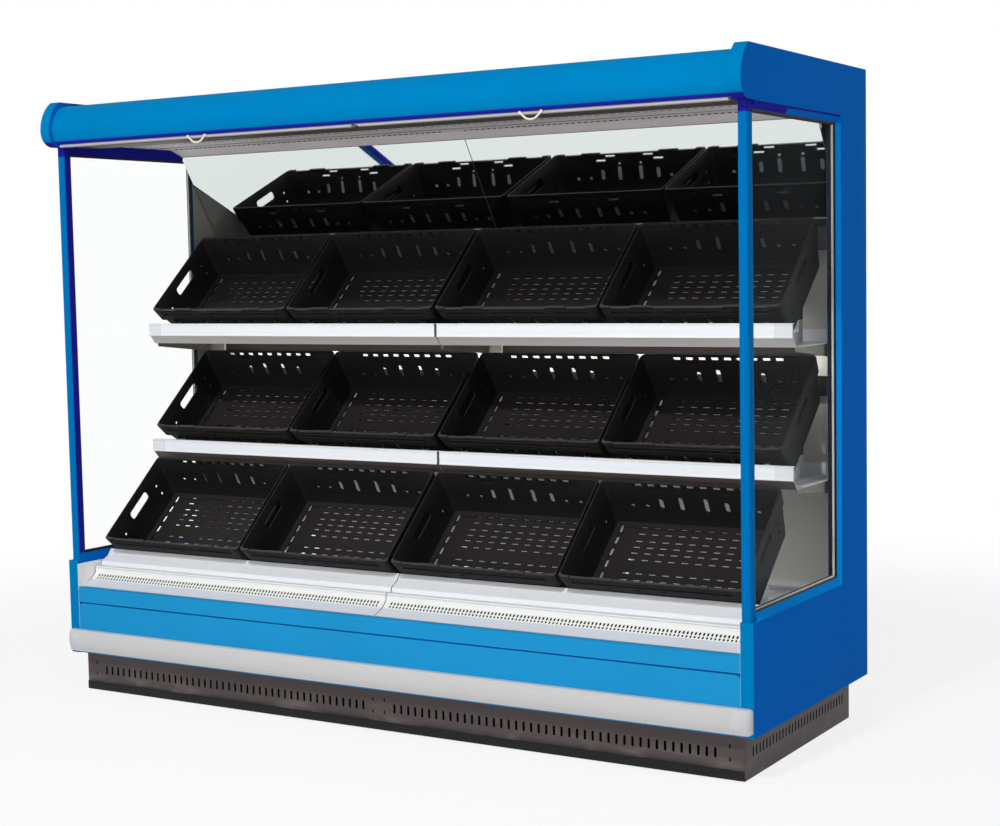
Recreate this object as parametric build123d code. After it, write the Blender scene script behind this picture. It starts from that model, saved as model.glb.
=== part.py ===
from build123d import *

import os
from math import atan2, cos, degrees, hypot, pi, radians, sin, tan

# Open-front chilled display case for fruit and vegetables, in two bays.
# Millimetres, +Z up, front towards -Y. The pieces are drawn with Y measured from the front
# face of the ends, and moved at the end so that the origin is the middle of the box's base.

# Crates, which set the width of a bay
CRATE_W = 600.0
CRATE_D = 392.0
CRATE_H = 155.0
CRATE_WALL = 3.0
CRATE_DRAFT = 5.9
SKIRT_H = 55.0
WALL_LEAN_D = 25.0
CRATES_PER_BAY = 2
CRATE_GAP = 8.0
CENTRE_GAP = 7.0
SIDE_GAP = 35.0
TILT = 42.0
HANDLE_W = 110.0
HANDLE_H = 32.0
HANDLE_DROP = 40.0
WALL_SLOT_PITCH = 66.0
WALL_SLOTS = 4
WALL_SLOT_W = 12.0
WALL_SLOT_H = 44.0
RIM_SLOTS = 9
RIM_SLOT_PITCH = 43.0
RIM_SLOT_W = 30.0
RIM_SLOT_H = 10.0
RIM_SLOT_DROP = 8.0
LIFT_CLEAR = 0.3

# Overall
DEPTH = 900.0
HEIGHT = 2040.0
END_T = 40.0
NOSE_OUT = 57.0
PLINTH_H = 137.0
SHOULDER_Z = 460.0
CANOPY_H = 152.0
SHEET = 2.0
PANEL_T = 50.0

# Front rim of the rows of crates: distance behind the ends' front, and height; the lowest row's
# height comes from the deck and the crates' clearance over it
UPPER_ROW = (382.0, 1321.0)
LOWER_ROW = (382.0, 901.0)
DECK_ROW_Y = 98.0
DECK_CLEAR = 15.0

# Ends, posts and glass
WINDOW_BACK_W = 233.0
BEVEL = 14.0
SILL_RISE = 23.0
POST_W = 30.0
POST_FRONT = 6.0
POST_D = 34.0
SEAL_W = 3.0
SPACER_W = 7.0
PANE_T = 4.0
PANE_GAP = 14.0
PANE_IN = 4.0

# Base
TUB_FLOOR_T = 48.0
TUB_FRONT_Y = 13.0
TUB_WALL_T = 41.0
FRONT_TOP_Z = 365.0
FRONT_SPLIT_Z = 314.0
FRONT_JOINT = 4.0
GRILLE_START = (16.0, 369.0)
GRILLE_FOLD = (62.0, 387.0)
GRILLE_TOP = (84.0, 408.0)
GRILLE_SLOTS = 15
GRILLE_SLOT_W = 34.0
DECK_Z = 424.0
DECK_TIP = 78.0
BUMPER_Z = 146.0
BUMPER_H = 75.0
BUMPER_OUT = 24.0
BUMPER_BOW = 7.0
BUMPER_CAP_W = 31.0
PLINTH_IN = 42.0
PLINTH_Y = 30.0
PLINTH_GAP = 4.0
PLINTH_SLOTS = 14
PLINTH_SLOT_W = 9.0
PLINTH_SLOT_H = 30.0
PLINTH_SLOT_Z = 62.0
BEAM_H = 32.0
BEAM_W = 40.0
BEAM_T = 3.0
BEAM_INSET = 80.0
FOOT_R = 32.0
STEM_R = 8.0
DRAIN_R = 20.0
DRAIN_BORE_R = 17.0
DRAIN_L = 52.0

# Canopy
FASCIA_IN = 15.0
FASCIA_T = 2.5
FASCIA_LIP = 7.0
ROOF_T = 40.0
SOFFIT_RISE = 14.0
SOFFIT_FRONT = 62.0
SOFFIT_STEP_Y = 170.0
SOFFIT_STEP_H = 12.0
SOFFIT_SLANT = 52.0
OUTLET_W = 50.0
OUTLET_BACK = 7.0
OUTLET_MARGIN = 20.0
OUTLET_CELLS = 10
LAMP_W = 24.0
LAMP_H = 22.0
MIRROR_L = 352.0
MIRROR_DROP = 24.0
MIRROR_TILT = 33.0
MIRROR_T = 5.0
MIRROR_BACK_GAP = 5.5
MIRROR_GAP = 0.3

# Night blinds
ROLLER_R = 20.0
ROLL_R = 25.0
ROLLER_Y = 12.0
ROLLER_Z_DROP = 90.0
AXLE_R = 5.0
RUN_CLEAR = 0.1
CLOTH_T = 1.0
BLIND_MARGIN = 14.0
BAR_D = 22.0
BAR_H = 13.0
BAR_LAP = 3.5
PULL_W = 80.0
PULL_H = 26.0
PULL_BAR = 8.0

# Shelves and the wall that carries them
DUCT_D = 45.0
UPRIGHT_W = 30.0
UPRIGHT_D = 25.0
UPRIGHT_SLOTS = 4
RAIL_H = 44.0
RAIL_T = 6.0
RAIL_END_W = 57.0
RAIL_DROP = 50.0
RAIL_FRONT = 16.0
RAIL_FLANGE = 12.0
APRON_BACK = 24.0
APRON_DROP = 28.0
RIB_T = 3.0
RIB_SPREAD = 230.0
BRACKET_T = 3.0

# Cooling
FAN_R = 95.0
FAN_HUB_R = 34.0
FAN_BLADES = 5
FAN_PITCH = 32.0
FAN_Y = 300.0
MOTOR_R = 38.0
MOTOR_L = 58.0
SHAFT_R = 4.0
COIL_Y = 430.0
COIL_D = 290.0
COIL_H = 180.0
COIL_FINS = 12
PIPE_R = 11.0
LIQUID_R = 6.0
PIPE_DOWN = 50.0

# Worked out from the sizes above
COS, SIN = cos(radians(TILT)), sin(radians(TILT))
CRATE_DRAW = CRATE_H * tan(radians(CRATE_DRAFT))
WALL_LEAN = (WALL_LEAN_D + CRATE_DRAW) / CRATE_H
DECK_ROW = (DECK_ROW_Y, DECK_Z + DECK_CLEAR + CRATE_H * COS - (WALL_LEAN_D + CRATE_DRAW) * SIN)
BAY_W = CENTRE_GAP + CRATES_PER_BAY * CRATE_W + (CRATES_PER_BAY - 1) * CRATE_GAP + SIDE_GAP
OUT_W = BAY_W + END_T
CANOPY_Z = HEIGHT - CANOPY_H
SOFFIT_Z = CANOPY_Z + SOFFIT_RISE
SOFFIT_LOW_Z = SOFFIT_Z - SOFFIT_STEP_H
SILL_Z = SHOULDER_Z + SILL_RISE
HEAD_Z = CANOPY_Z - SILL_RISE
BAR_TOP_Z = CANOPY_Z + FASCIA_LIP + BAR_LAP
ROOF_Z = HEIGHT - FASCIA_IN - FASCIA_T
WINDOW_Y = DEPTH - WINDOW_BACK_W
POST_BACK = POST_FRONT + POST_D
BACK_Y = DEPTH - PANEL_T
LINER_Y = BACK_Y - DUCT_D
MIRROR_LEAN = radians(MIRROR_TILT)
MIRROR_TOP_Y = LINER_Y - MIRROR_BACK_GAP - MIRROR_T * cos(MIRROR_LEAN) - MIRROR_L * sin(MIRROR_LEAN)
SOFFIT_FOLD_Y = MIRROR_TOP_Y - SOFFIT_SLANT
OUTLET_Y = SOFFIT_FOLD_Y - OUTLET_BACK - OUTLET_W
ROLLER_Z = HEIGHT - ROLLER_Z_DROP
FLOOR_Z = PLINTH_H + TUB_FLOOR_T
NOSE_Z = CANOPY_Z + 52.0
BAR_Y = ROLLER_Y - ROLL_R + 1.0
DEPTH_SHIFT = (NOSE_OUT - DEPTH) / 2
SIDES = {"left": -1, "right": 1}


def block(x, y, z):
    """A box between the two values given on each axis."""
    middle = [(a + b) / 2 for a, b in (x, y, z)]
    return Pos(*middle) * Box(x[1] - x[0], y[1] - y[0], z[1] - z[0])


def prism(outline, x):
    """A closed outline of (Y, Z) points carried between two X planes."""
    face = make_face(Polyline(*outline, close=True))
    return extrude(Plane.YZ.offset(x[0]) * face, x[1] - x[0])


def folded(skin, t):
    """The outline of a sheet folded along a run of points, t thick on the left of the run."""
    inner = []
    for i, (y, z) in enumerate(skin):
        before, after = skin[max(i - 1, 0)], skin[min(i + 1, len(skin) - 1)]
        runs = [(b, a) for a, b in ((before, (y, z)), ((y, z), after)) if a != b]
        turns = [atan2(end[1] - start[1], end[0] - start[0]) for end, start in runs]
        half = (turns[-1] - turns[0]) / 2
        half -= pi * round(half / pi)
        lean = turns[0] + half + pi / 2
        inner.append((y + t * cos(lean) / cos(half), z + t * sin(lean) / cos(half)))
    return skin + inner[::-1]


def sided(piece, side):
    """A piece drawn on the right, kept or mirrored to the left."""
    return piece if side > 0 else mirror(piece, about=Plane.YZ)


def group(pieces):
    """Separate solids that share a node."""
    return Compound([solid for piece in pieces for solid in piece.solids()])


def in_row(row, u, w):
    """(Y, Z) of a point u back from a row's front rim and w above the rim's plane."""
    return (row[0] + u * COS - w * SIN, row[1] + u * SIN + w * COS)


def crate_middles():
    """X of the middle of each crate in a row, from left to right."""
    right = [CENTRE_GAP + CRATE_W / 2 + i * (CRATE_W + CRATE_GAP) for i in range(CRATES_PER_BAY)]
    return [-x for x in reversed(right)] + right


def tapered(width, depth, height, y, lean=None):
    """A block hanging from the rim's plane, drawn in by the mould's draft, or by lean at front and back."""
    draw = height * tan(radians(CRATE_DRAFT))
    slip = draw if lean is None else height * lean
    side = [(y, 0), (y + depth, 0), (y + depth - slip, -height), (y + slip, -height)]
    half = width / 2
    corners = [(-half, 0), (half, 0), (half - draw, -height), (draw - half, -height)]
    front = make_face(Polyline(*corners, close=True))
    return prism(side, (-half, half)) & extrude(Plane.XZ.offset(-y - depth) * front, depth)


def crate():
    """One ventilated crate, upright, with its front rim along X at the origin."""
    t = CRATE_WALL
    wide, deep = CRATE_W - 2 * t, CRATE_D - 2 * t
    tray = tapered(CRATE_W, CRATE_D, CRATE_H, 0, WALL_LEAN)
    skirt = tapered(CRATE_W, CRATE_D, SKIRT_H, 0) - tapered(wide, deep, SKIRT_H, t)
    body = tray + skirt - tapered(wide, deep, CRATE_H - t, t, WALL_LEAN)
    half, cut = HANDLE_H / 2, HANDLE_H / 3
    y, z = CRATE_D / 2, -HANDLE_DROP
    corners = [(HANDLE_W / 2, half - cut), (HANDLE_W / 2 - cut, half)]
    right = [(a, -b) for a, b in corners] + [(a, b) for a, b in reversed(corners)]
    right = sorted(right, key=lambda p: atan2(p[1], p[0]))
    grip = [(y + a, z + b) for a, b in right] + [(y - a, z - b) for a, b in right]
    body -= prism(grip, (-CRATE_W, CRATE_W))
    slot_z = (-CRATE_H + 34.0, -CRATE_H + 34.0 + WALL_SLOT_H)
    for i in range(WALL_SLOTS):
        x = (i - (WALL_SLOTS - 1) / 2) * WALL_SLOT_PITCH
        body -= block((x - WALL_SLOT_W / 2, x + WALL_SLOT_W / 2), (CRATE_D / 2, CRATE_D), slot_z)
    rim_z = (-RIM_SLOT_DROP - RIM_SLOT_H, -RIM_SLOT_DROP)
    for i in range(RIM_SLOTS):
        x = (i - (RIM_SLOTS - 1) / 2) * RIM_SLOT_PITCH
        body -= block((x - RIM_SLOT_W / 2, x + RIM_SLOT_W / 2), (CRATE_D - 30, CRATE_D + 1), rim_z)
    return body


def place_crate(shape, x, row):
    """A crate set in its row, tipped towards the customer."""
    return Pos(x, row[0], row[1]) * Rot(TILT, 0, 0) * shape


def window_outline(out, rise):
    """Corners of an end's window, made larger by out at the jamb and by rise at the sill and head."""
    y, low, high = WINDOW_Y + out, SILL_Z - rise, HEAD_Z + rise
    return [(POST_BACK, low), (y, low), (y, high), (POST_BACK, high)]


def end_outline():
    """Outline of an end, open in front of the window, with the canopy's round nose."""
    lip, nose, crown = (-10.0, CANOPY_Z), (-NOSE_OUT, NOSE_Z), (-5.0, HEIGHT)
    straight = Polyline(
        lip, (POST_BACK, CANOPY_Z), *window_outline(0, 0)[::-1], (POST_BACK, SHOULDER_Z), (0, SHOULDER_Z),
        (0, PLINTH_H), (DEPTH, PLINTH_H), (DEPTH, HEIGHT), crown,
    )
    brow = TangentArc(nose, crown, tangent=(0, 1))
    chin = TangentArc(nose, lip, tangent=(0, -1))
    return make_face(straight + brow + chin)


def end(side):
    """An insulated end with its window, bevelled round the outside of the opening."""
    panel = extrude(Plane.YZ.offset(BAY_W) * end_outline(), END_T)
    steps = ((OUT_W - BEVEL, 0, 0), (OUT_W, BEVEL, SILL_RISE))
    rims = [make_face(Polyline(*window_outline(out, rise), close=True)) for _, out, rise in steps]
    flare = loft([Plane.YZ.offset(x) * rim for (x, _, _), rim in zip(steps, rims)], ruled=True)
    return sided(panel - flare, side)


def post(side):
    """The front post of an end, with its front corners taken off."""
    y = (POST_FRONT, POST_BACK)
    bar = block((BAY_W, BAY_W + POST_W), y, (SHOULDER_Z, CANOPY_Z))
    front = bar.edges().filter_by(Axis.Z).filter_by_position(Axis.Y, y[0] - 1, y[0] + 1)
    return sided(chamfer(front, 3), side)


def window_c(inset, thick):
    """A C-shaped outline round the window, open at the post."""
    y0, y1 = POST_BACK, WINDOW_Y - inset
    z0, z1 = SILL_Z + inset, HEAD_Z - inset
    return [
        (y0, z0), (y1, z0), (y1, z1), (y0, z1), (y0, z1 - thick),
        (y1 - thick, z1 - thick), (y1 - thick, z0 + thick), (y0, z0 + thick),
    ]


def pane_x():
    """X of the faces of the inner and outer panes."""
    inner = BAY_W + PANE_IN
    outer = inner + PANE_T + PANE_GAP
    return (inner, inner + PANE_T), (outer, outer + PANE_T)


def glass(side):
    """The two panes of an end."""
    y = (POST_BACK, WINDOW_Y - SEAL_W)
    z = (SILL_Z + SEAL_W, HEAD_Z - SEAL_W)
    return group([sided(block(x, y, z), side) for x in pane_x()])


def glass_seal(side):
    """The seal that holds the panes in the window and keeps them apart."""
    inner, outer = pane_x()
    seal = prism(window_c(0, SEAL_W), (inner[0] - 2, outer[1] + 2))
    spacer = prism(window_c(SEAL_W, SPACER_W - SEAL_W), (inner[1], outer[0]))
    return sided(seal + spacer, side)


def tub():
    """The insulated tub under the deck, with its drain spout and pipe hole."""
    back = TUB_FRONT_Y + TUB_WALL_T
    slope = (GRILLE_FOLD[1] - GRILLE_START[1]) / (GRILLE_FOLD[0] - GRILLE_START[0])
    top = GRILLE_START[1] - SHEET - 1.5
    front = GRILLE_START[0]
    outline = [
        (TUB_FRONT_Y, PLINTH_H), (DEPTH, PLINTH_H), (DEPTH, FLOOR_Z), (back, FLOOR_Z),
        (back, top + (back - front) * slope), (front, top), (TUB_FRONT_Y, top - SHEET),
    ]
    body = prism(outline, (-BAY_W, BAY_W))
    x, y = drain_place()
    spout = Pos(x, y, PLINTH_H) * Cylinder(DRAIN_R, DRAIN_L, align=(Align.CENTER, Align.CENTER, Align.MAX))
    bore = Pos(x, y, (PLINTH_H - DRAIN_L + FLOOR_Z) / 2) * Cylinder(DRAIN_BORE_R, 300)
    x, y = pipe_place()
    hole = block((x - 30, x + 30), (y - 30, y + 70), (PLINTH_H - 1, FLOOR_Z + 1))
    return body + spout - bore - hole


def drain_place():
    """X and Y of the drain."""
    return 0.0, FAN_Y + 60.0


def pipe_place():
    """X and Y of the larger refrigerant pipe where it goes through the tub."""
    return BAY_W - 90.0, COIL_Y + COIL_D / 2


def front_panels():
    """The lower and upper blue sheets of the base's front."""
    low = [(TUB_FRONT_Y, PLINTH_H + 1), (0, PLINTH_H + 1), (0, FRONT_SPLIT_Z - FRONT_JOINT / 2)]
    low.append((TUB_FRONT_Y, low[-1][1]))
    up = [(TUB_FRONT_Y, FRONT_SPLIT_Z + FRONT_JOINT / 2), (0, FRONT_SPLIT_Z + FRONT_JOINT / 2)]
    up += [(0, FRONT_TOP_Z - 5), (5, FRONT_TOP_Z + 1), GRILLE_START]
    x = (-BAY_W, BAY_W)
    outlines = [folded(run[::-1], SHEET) for run in (low, up)]
    return [prism(outline, x) for outline in outlines]


def bumper_face():
    """Section of the bumper strip, bowed out in front."""
    low, high, shoulder = BUMPER_Z, BUMPER_Z + BUMPER_H, BUMPER_OUT - BUMPER_BOW
    back = Polyline((-shoulder, low + 2), (0, low), (0, high), (-shoulder, high - 2))
    bow = ThreePointArc((-shoulder, high - 2), (-BUMPER_OUT, (low + high) / 2), (-shoulder, low + 2))
    return make_face(back + bow)


def bumper():
    """The bumper strip along the base."""
    x = OUT_W - BUMPER_CAP_W - 2
    return extrude(Plane.YZ.offset(-x) * bumper_face(), 2 * x)


def bumper_cap(side):
    """A rounded cap on the bumper's end."""
    start = OUT_W - BUMPER_CAP_W - 2
    cap = extrude(Plane.YZ.offset(start) * bumper_face(), BUMPER_CAP_W)
    tip = start + BUMPER_CAP_W
    edges = [
        edge for edge in cap.edges().filter_by_position(Axis.X, tip - 0.1, tip + 0.1)
        if edge.center().Y < BUMPER_BOW - BUMPER_OUT - 1
    ]
    return sided(chamfer(edges, 7), side)


def slotted(sheet, places, width, height, axis):
    """A plinth sheet with a row of upright slots at the given places along X or Y."""
    z = (PLINTH_SLOT_Z, PLINTH_SLOT_Z + height)
    across = (-OUT_W, OUT_W)
    for place in places:
        along = (place - width / 2, place + width / 2)
        x, y = (along, (0, PLINTH_Y + 9)) if axis == Axis.X else (across, along)
        sheet -= block(x, y, z)
    return sheet


def plinth():
    """The ventilated plinth: a front sheet and two side sheets."""
    half = OUT_W - PLINTH_IN
    z = (PLINTH_GAP, PLINTH_H)
    front = block((-half, half), (PLINTH_Y, PLINTH_Y + SHEET), z)
    run = half - 90.0
    pitch = (run - 60.0) / (PLINTH_SLOTS - 1)
    right = [60.0 + i * pitch for i in range(PLINTH_SLOTS)]
    front = slotted(front, [-x for x in right] + right, PLINTH_SLOT_W, PLINTH_SLOT_H, Axis.X)
    y0, y1 = PLINTH_Y + SHEET, DEPTH - 55.0
    count = round((y1 - y0 - 160.0) / pitch)
    places = [y0 + 80.0 + i * (y1 - y0 - 160.0) / (count - 1) for i in range(count)]
    sides = [block(x, (y0, y1), z) for x in ((-half, SHEET - half), (half - SHEET, half))]
    sides = [slotted(sheet, places, PLINTH_SLOT_W, PLINTH_SLOT_H, Axis.Y) for sheet in sides]
    return group([front, *sides])


def beam_places():
    """Y of the middle of the two long base beams."""
    return PLINTH_Y + BEAM_INSET, DEPTH - 55.0 - BEAM_INSET + 20.0


def foot_places():
    """X of the rows of levelling feet."""
    reach = OUT_W - PLINTH_IN - 120.0
    return -reach, 0.0, reach


def base_frame():
    """Two folded channel beams and the cross members between them."""
    z0, z1 = PLINTH_H - BEAM_H, PLINTH_H
    half = OUT_W - PLINTH_IN - 40.0
    frame = None
    for y in beam_places():
        edge = [(y - BEAM_W / 2, z0), (y - BEAM_W / 2, z1), (y + BEAM_W / 2, z1), (y + BEAM_W / 2, z0)]
        beam = prism(folded(edge[::-1], BEAM_T), (-half, half))
        frame = beam if frame is None else frame + beam
    y = (beam_places()[0] + BEAM_W / 2 - 1, beam_places()[1] - BEAM_W / 2 + 1)
    for x in foot_places():
        x += 60.0 if x <= 0 else -60.0
        frame += block((x - 15, x + 15), y, (z0 + 8, z1 - BEAM_T))
    return frame


def foot():
    """A levelling foot: a stepped pad, a stem and its lock nut."""
    steps = [
        (FOOT_R, 6, 0, 12), (STEM_R, 6, 11, PLINTH_H - BEAM_T), (STEM_R + 6, 6, 60, 70),
    ]
    turned = None
    for radius, corners, low, high in steps:
        step = Pos(0, 0, low) * extrude(RegularPolygon(radius, corners), high - low)
        turned = step if turned is None else turned + step
    return turned


def levelling_feet():
    """The six feet under the base beams."""
    pad = foot()
    return group([Pos(x, y, 0) * pad for x in foot_places() for y in beam_places()])


def fascia():
    """The blue rounded sheet across the front of the canopy, open behind."""
    top, lip = HEIGHT - FASCIA_IN, (-24.0, CANOPY_Z + FASCIA_LIP)
    nose, crown, tail = (FASCIA_IN - NOSE_OUT, NOSE_Z + 4), (8.0, top), (60.0, top)

    def skin(t):
        """The fascia's skin, moved in by t, closed well behind the sheet."""
        start, bend, end = (crown[0], crown[1] - t), (nose[0] + t, nose[1]), (lip[0] + t, lip[1])
        brow = TangentArc(bend, start, tangent=(0, 1))
        chin = TangentArc(bend, end, tangent=(0, -1))
        rest = Polyline(end, (tail[0], end[1]), (tail[0], start[1]), start)
        return make_face(brow + chin + rest)

    section = skin(0) - skin(FASCIA_T)
    shell = extrude(Plane.YZ.offset(-BAY_W) * section, 2 * BAY_W)
    return shell


def roof():
    """The insulated roof between the ends."""
    return block((-BAY_W, BAY_W), (9.0, DEPTH), (ROOF_Z - ROOF_T, ROOF_Z))


def back_wall():
    """The insulated back wall."""
    return block((-BAY_W, BAY_W), (BACK_Y, DEPTH), (FLOOR_Z, ROOF_Z - ROOF_T))


def outlet_x(side):
    """X of the two ends of a bay's cold-air outlet."""
    low, high = OUTLET_MARGIN, BAY_W - OUTLET_MARGIN
    return (low, high) if side > 0 else (-high, -low)


def mirror_line():
    """(Y, Z) of the mirror's top and bottom front edges, and the direction of its back."""
    top = (MIRROR_TOP_Y, SOFFIT_Z - MIRROR_DROP)
    bottom = (top[0] + MIRROR_L * sin(MIRROR_LEAN), top[1] - MIRROR_L * cos(MIRROR_LEAN))
    return top, bottom, (cos(MIRROR_LEAN), sin(MIRROR_LEAN))


def soffit():
    """The stepped sheet under the canopy, turned up in front and down behind the mirrors."""
    top, bottom, back = mirror_line()
    heel = (top[0] + MIRROR_T * back[0] + MIRROR_GAP, top[1] + MIRROR_T * back[1])
    bend, drop = [(heel[0] + d * sin(MIRROR_LEAN), heel[1] - d * cos(MIRROR_LEAN)) for d in (-2.0, 40.0)]
    run = [
        (SOFFIT_FRONT, SOFFIT_LOW_Z + 30), (SOFFIT_FRONT, SOFFIT_LOW_Z), (SOFFIT_STEP_Y, SOFFIT_LOW_Z),
        (SOFFIT_STEP_Y, SOFFIT_Z), (SOFFIT_FOLD_Y, SOFFIT_Z), bend, drop,
    ]
    sheet = prism(folded(run, SHEET), (-BAY_W, BAY_W))
    for side in SIDES.values():
        sheet -= block(outlet_x(side), (OUTLET_Y, OUTLET_Y + OUTLET_W), (SOFFIT_Z - 1, SOFFIT_Z + 9))
    return sheet


def honeycomb():
    """The grids of the cold-air outlets, let into the soffit."""
    grids = []
    wall = 4.0
    y = (OUTLET_Y, OUTLET_Y + OUTLET_W)
    cell_y = (y[0] + wall, y[1] - wall)
    for side in SIDES.values():
        x0, x1 = outlet_x(side)
        grid = block((x0, x1), y, (SOFFIT_Z, SOFFIT_Z + 18))
        step = (x1 - x0 - wall) / OUTLET_CELLS
        for i in range(OUTLET_CELLS):
            left = x0 + wall + i * step
            grid -= block((left, left + step - wall), cell_y, (SOFFIT_Z - 1, SOFFIT_Z + 19))
        grids.append(grid)
    return group(grids)


def lamp():
    """The lamp batten behind the blinds, with a tapered lens under it."""
    y0, y1 = SOFFIT_FRONT - LAMP_W, SOFFIT_FRONT
    z0, z1 = SOFFIT_LOW_Z + 6, SOFFIT_LOW_Z + 6 + LAMP_H
    outline = [(y0 + 5, z0), (y1 - 3, z0), (y1, z0 + 6), (y1, z1), (y0, z1), (y0, z0 + 8)]
    return prism(outline, (60.0 - BAY_W, BAY_W - 60.0))


def mirror_plate(side):
    """One tilted mirror over the upper crates."""
    top, bottom, back = mirror_line()
    outline = [top, bottom]
    outline += [(y + MIRROR_T * back[0], z + MIRROR_T * back[1]) for y, z in (bottom, top)]
    return sided(prism(outline, (1.5, BAY_W - 4.0)), side)


def upright_x():
    """X of the middle of the three uprights."""
    reach = BAY_W - UPRIGHT_W / 2
    return -reach, 0.0, reach


def uprights():
    """Three slotted channels that the shelf brackets hook into."""
    top = mirror_line()[1][1] + 30.0
    posts = []
    for x in upright_x():
        half = UPRIGHT_W / 2
        post_ = block((x - half, x + half), (LINER_Y, LINER_Y + UPRIGHT_D), (FLOOR_Z, top))
        post_ -= block((x - half + 2.5, x + half - 2.5), (LINER_Y + 2.5, LINER_Y + 99), (0, HEIGHT))
        step = (top - DECK_Z - 160.0) / UPRIGHT_SLOTS
        for i in range(UPRIGHT_SLOTS):
            z = DECK_Z + 140.0 + i * step
            post_ -= block((x - 3, x + 3), (LINER_Y - 1, LINER_Y + 3), (z, z + 30))
        posts.append(post_)
    return group(posts)


def liner(side):
    """A perforated inner back sheet, with a ledge at its top for the mirror."""
    ledge = mirror_line()[1]
    run = [(ledge[0] - 4, ledge[1]), (LINER_Y, ledge[1]), (LINER_Y, DECK_Z + SHEET)]
    half = UPRIGHT_W / 2
    sheet = prism(folded(run[::-1], SHEET), (half + 1, BAY_W - UPRIGHT_W - 1))
    for row in (UPPER_ROW, LOWER_ROW):
        z = row[1] + 40.0
        for i in range(5):
            x = BAY_W / 2 + (i - 2) * 200.0
            sheet -= block((x - 50, x + 50), (LINER_Y - 9, LINER_Y + 9), (z, z + 12))
    return sided(sheet, side)


def apron_run(row):
    """The folds of a shelf's sheet, from the flange over its rail to its back."""
    face_y = row[0] + RAIL_FRONT + RAIL_T
    rail_z = row[1] - RAIL_DROP - RAIL_H
    floor_z = rail_z - APRON_DROP
    back_y = LINER_Y - SHEET
    return [
        (face_y + RAIL_FLANGE, rail_z + RAIL_H), (face_y, rail_z + RAIL_H), (face_y, rail_z),
        (face_y + APRON_BACK, floor_z), (back_y, floor_z), (back_y, floor_z + 40.0),
    ]


def rib_horn(row, z):
    """The front edge of a shelf's rib: a horn under the crate's skirt that keeps it from sliding out."""
    foot = (row[0] + RAIL_FRONT + RAIL_T + APRON_BACK + 8.0, z)
    under = -SKIRT_H - LIFT_CLEAR
    heel = in_row(row, CRATE_H * WALL_LEAN - 2.0, -CRATE_H - LIFT_CLEAR)
    return [heel, in_row(row, SKIRT_H * WALL_LEAN - 2.0, under), in_row(row, 3.0, under), foot]


def rib(row, x, z, front=None):
    """A triangular plate standing at height z that carries a crate's floor, with a cut-out."""
    low = in_row(row, WALL_LEAN_D + 30.0, -CRATE_H - LIFT_CLEAR)
    high = in_row(row, CRATE_D - WALL_LEAN_D - 40.0, -CRATE_H - LIFT_CLEAR)
    outline = [(high[0], z), high] + (front or [low, (low[0], z)])
    web = 34.0
    hole_z = z + web
    inner = [
        (low[0] + 3.2 * web, hole_z), (high[0] - web, hole_z),
        (high[0] - web, high[1] - 2 * web * tan(radians(TILT)) - 4.0),
    ]
    return prism(outline, (x - RIB_T / 2, x + RIB_T / 2)) - prism(inner, (x - 9, x + 9))


def rib_places():
    """X of the ribs under the crates of the right bay."""
    middles = [x for x in crate_middles() if x > 0]
    return [x + d for x in middles for d in (-RIB_SPREAD, RIB_SPREAD)]


def shelf(row, side):
    """A folded shelf of one bay with the ribs that tip its crates."""
    run = apron_run(row)
    sheet = prism(folded(run, SHEET), (1.5, BAY_W - 4.0))
    for x in rib_places():
        z = run[-2][1] + SHEET
        sheet += rib(row, x, z, rib_horn(row, z))
    return sided(sheet, side)


def price_rails():
    """The ticket rails on the shelves, each with a short clear piece at the case's end."""
    rails = []
    for row in (UPPER_ROW, LOWER_ROW):
        y1 = row[0] + RAIL_FRONT + RAIL_T
        z0 = row[1] - RAIL_DROP - RAIL_H
        y0, z1 = y1 - RAIL_T, z0 + RAIL_H
        lip = 2.0
        outline = [
            (y1, z0), (y1, z1), (y0, z1), (y0, z1 - 4), (y0 + lip, z1 - 6),
            (y0 + lip, z0 + 6), (y0, z0 + 4), (y0, z0),
        ]
        split = BAY_W - 4.0 - RAIL_END_W
        for side in SIDES.values():
            rails += [sided(prism(outline, x), side) for x in ((5.0, split - 7), (split, BAY_W - 4.0))]
    return group(rails)


def bracket(row, x):
    """A tapered shelf bracket on an upright's face."""
    z = apron_run(row)[-2][1]
    y0 = row[0] + RAIL_FRONT + RAIL_T + APRON_BACK + 10.0
    outline = [(LINER_Y, z), (y0, z), (y0, z - 12), (LINER_Y - 90, z - 42), (LINER_Y, z - 85)]
    return prism(outline, (x - BRACKET_T / 2, x + BRACKET_T / 2))


def brackets():
    """The brackets under the ends of every shelf."""
    outer = BAY_W - 10.0
    places = (-outer, -3.2, 3.2, outer)
    return group([bracket(row, x) for row in (UPPER_ROW, LOWER_ROW) for x in places])


def deck(side):
    """The bottom deck of one bay: a stepped white front, a flat pan and its ribs."""
    tip = in_row(DECK_ROW, DECK_TIP * WALL_LEAN - 2.0, -DECK_TIP)
    brow = in_row(DECK_ROW, DECK_TIP * WALL_LEAN - 12.0, -DECK_TIP)
    front = GRILLE_TOP[0] + SHEET + 0.3
    run = [
        tip, brow, (brow[0] - 10, brow[1] - 14), (front + 29, DECK_Z + 20), (front + 26, DECK_Z + 6),
        (front, DECK_Z + 6), (front, DECK_Z), (LINER_Y - 0.5, DECK_Z),
    ]
    sheet = prism(folded(run, SHEET), (1.5, BAY_W - 4.0))
    for x in rib_places():
        sheet += rib(DECK_ROW, x, DECK_Z + SHEET)
    return sided(sheet, side)


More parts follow.
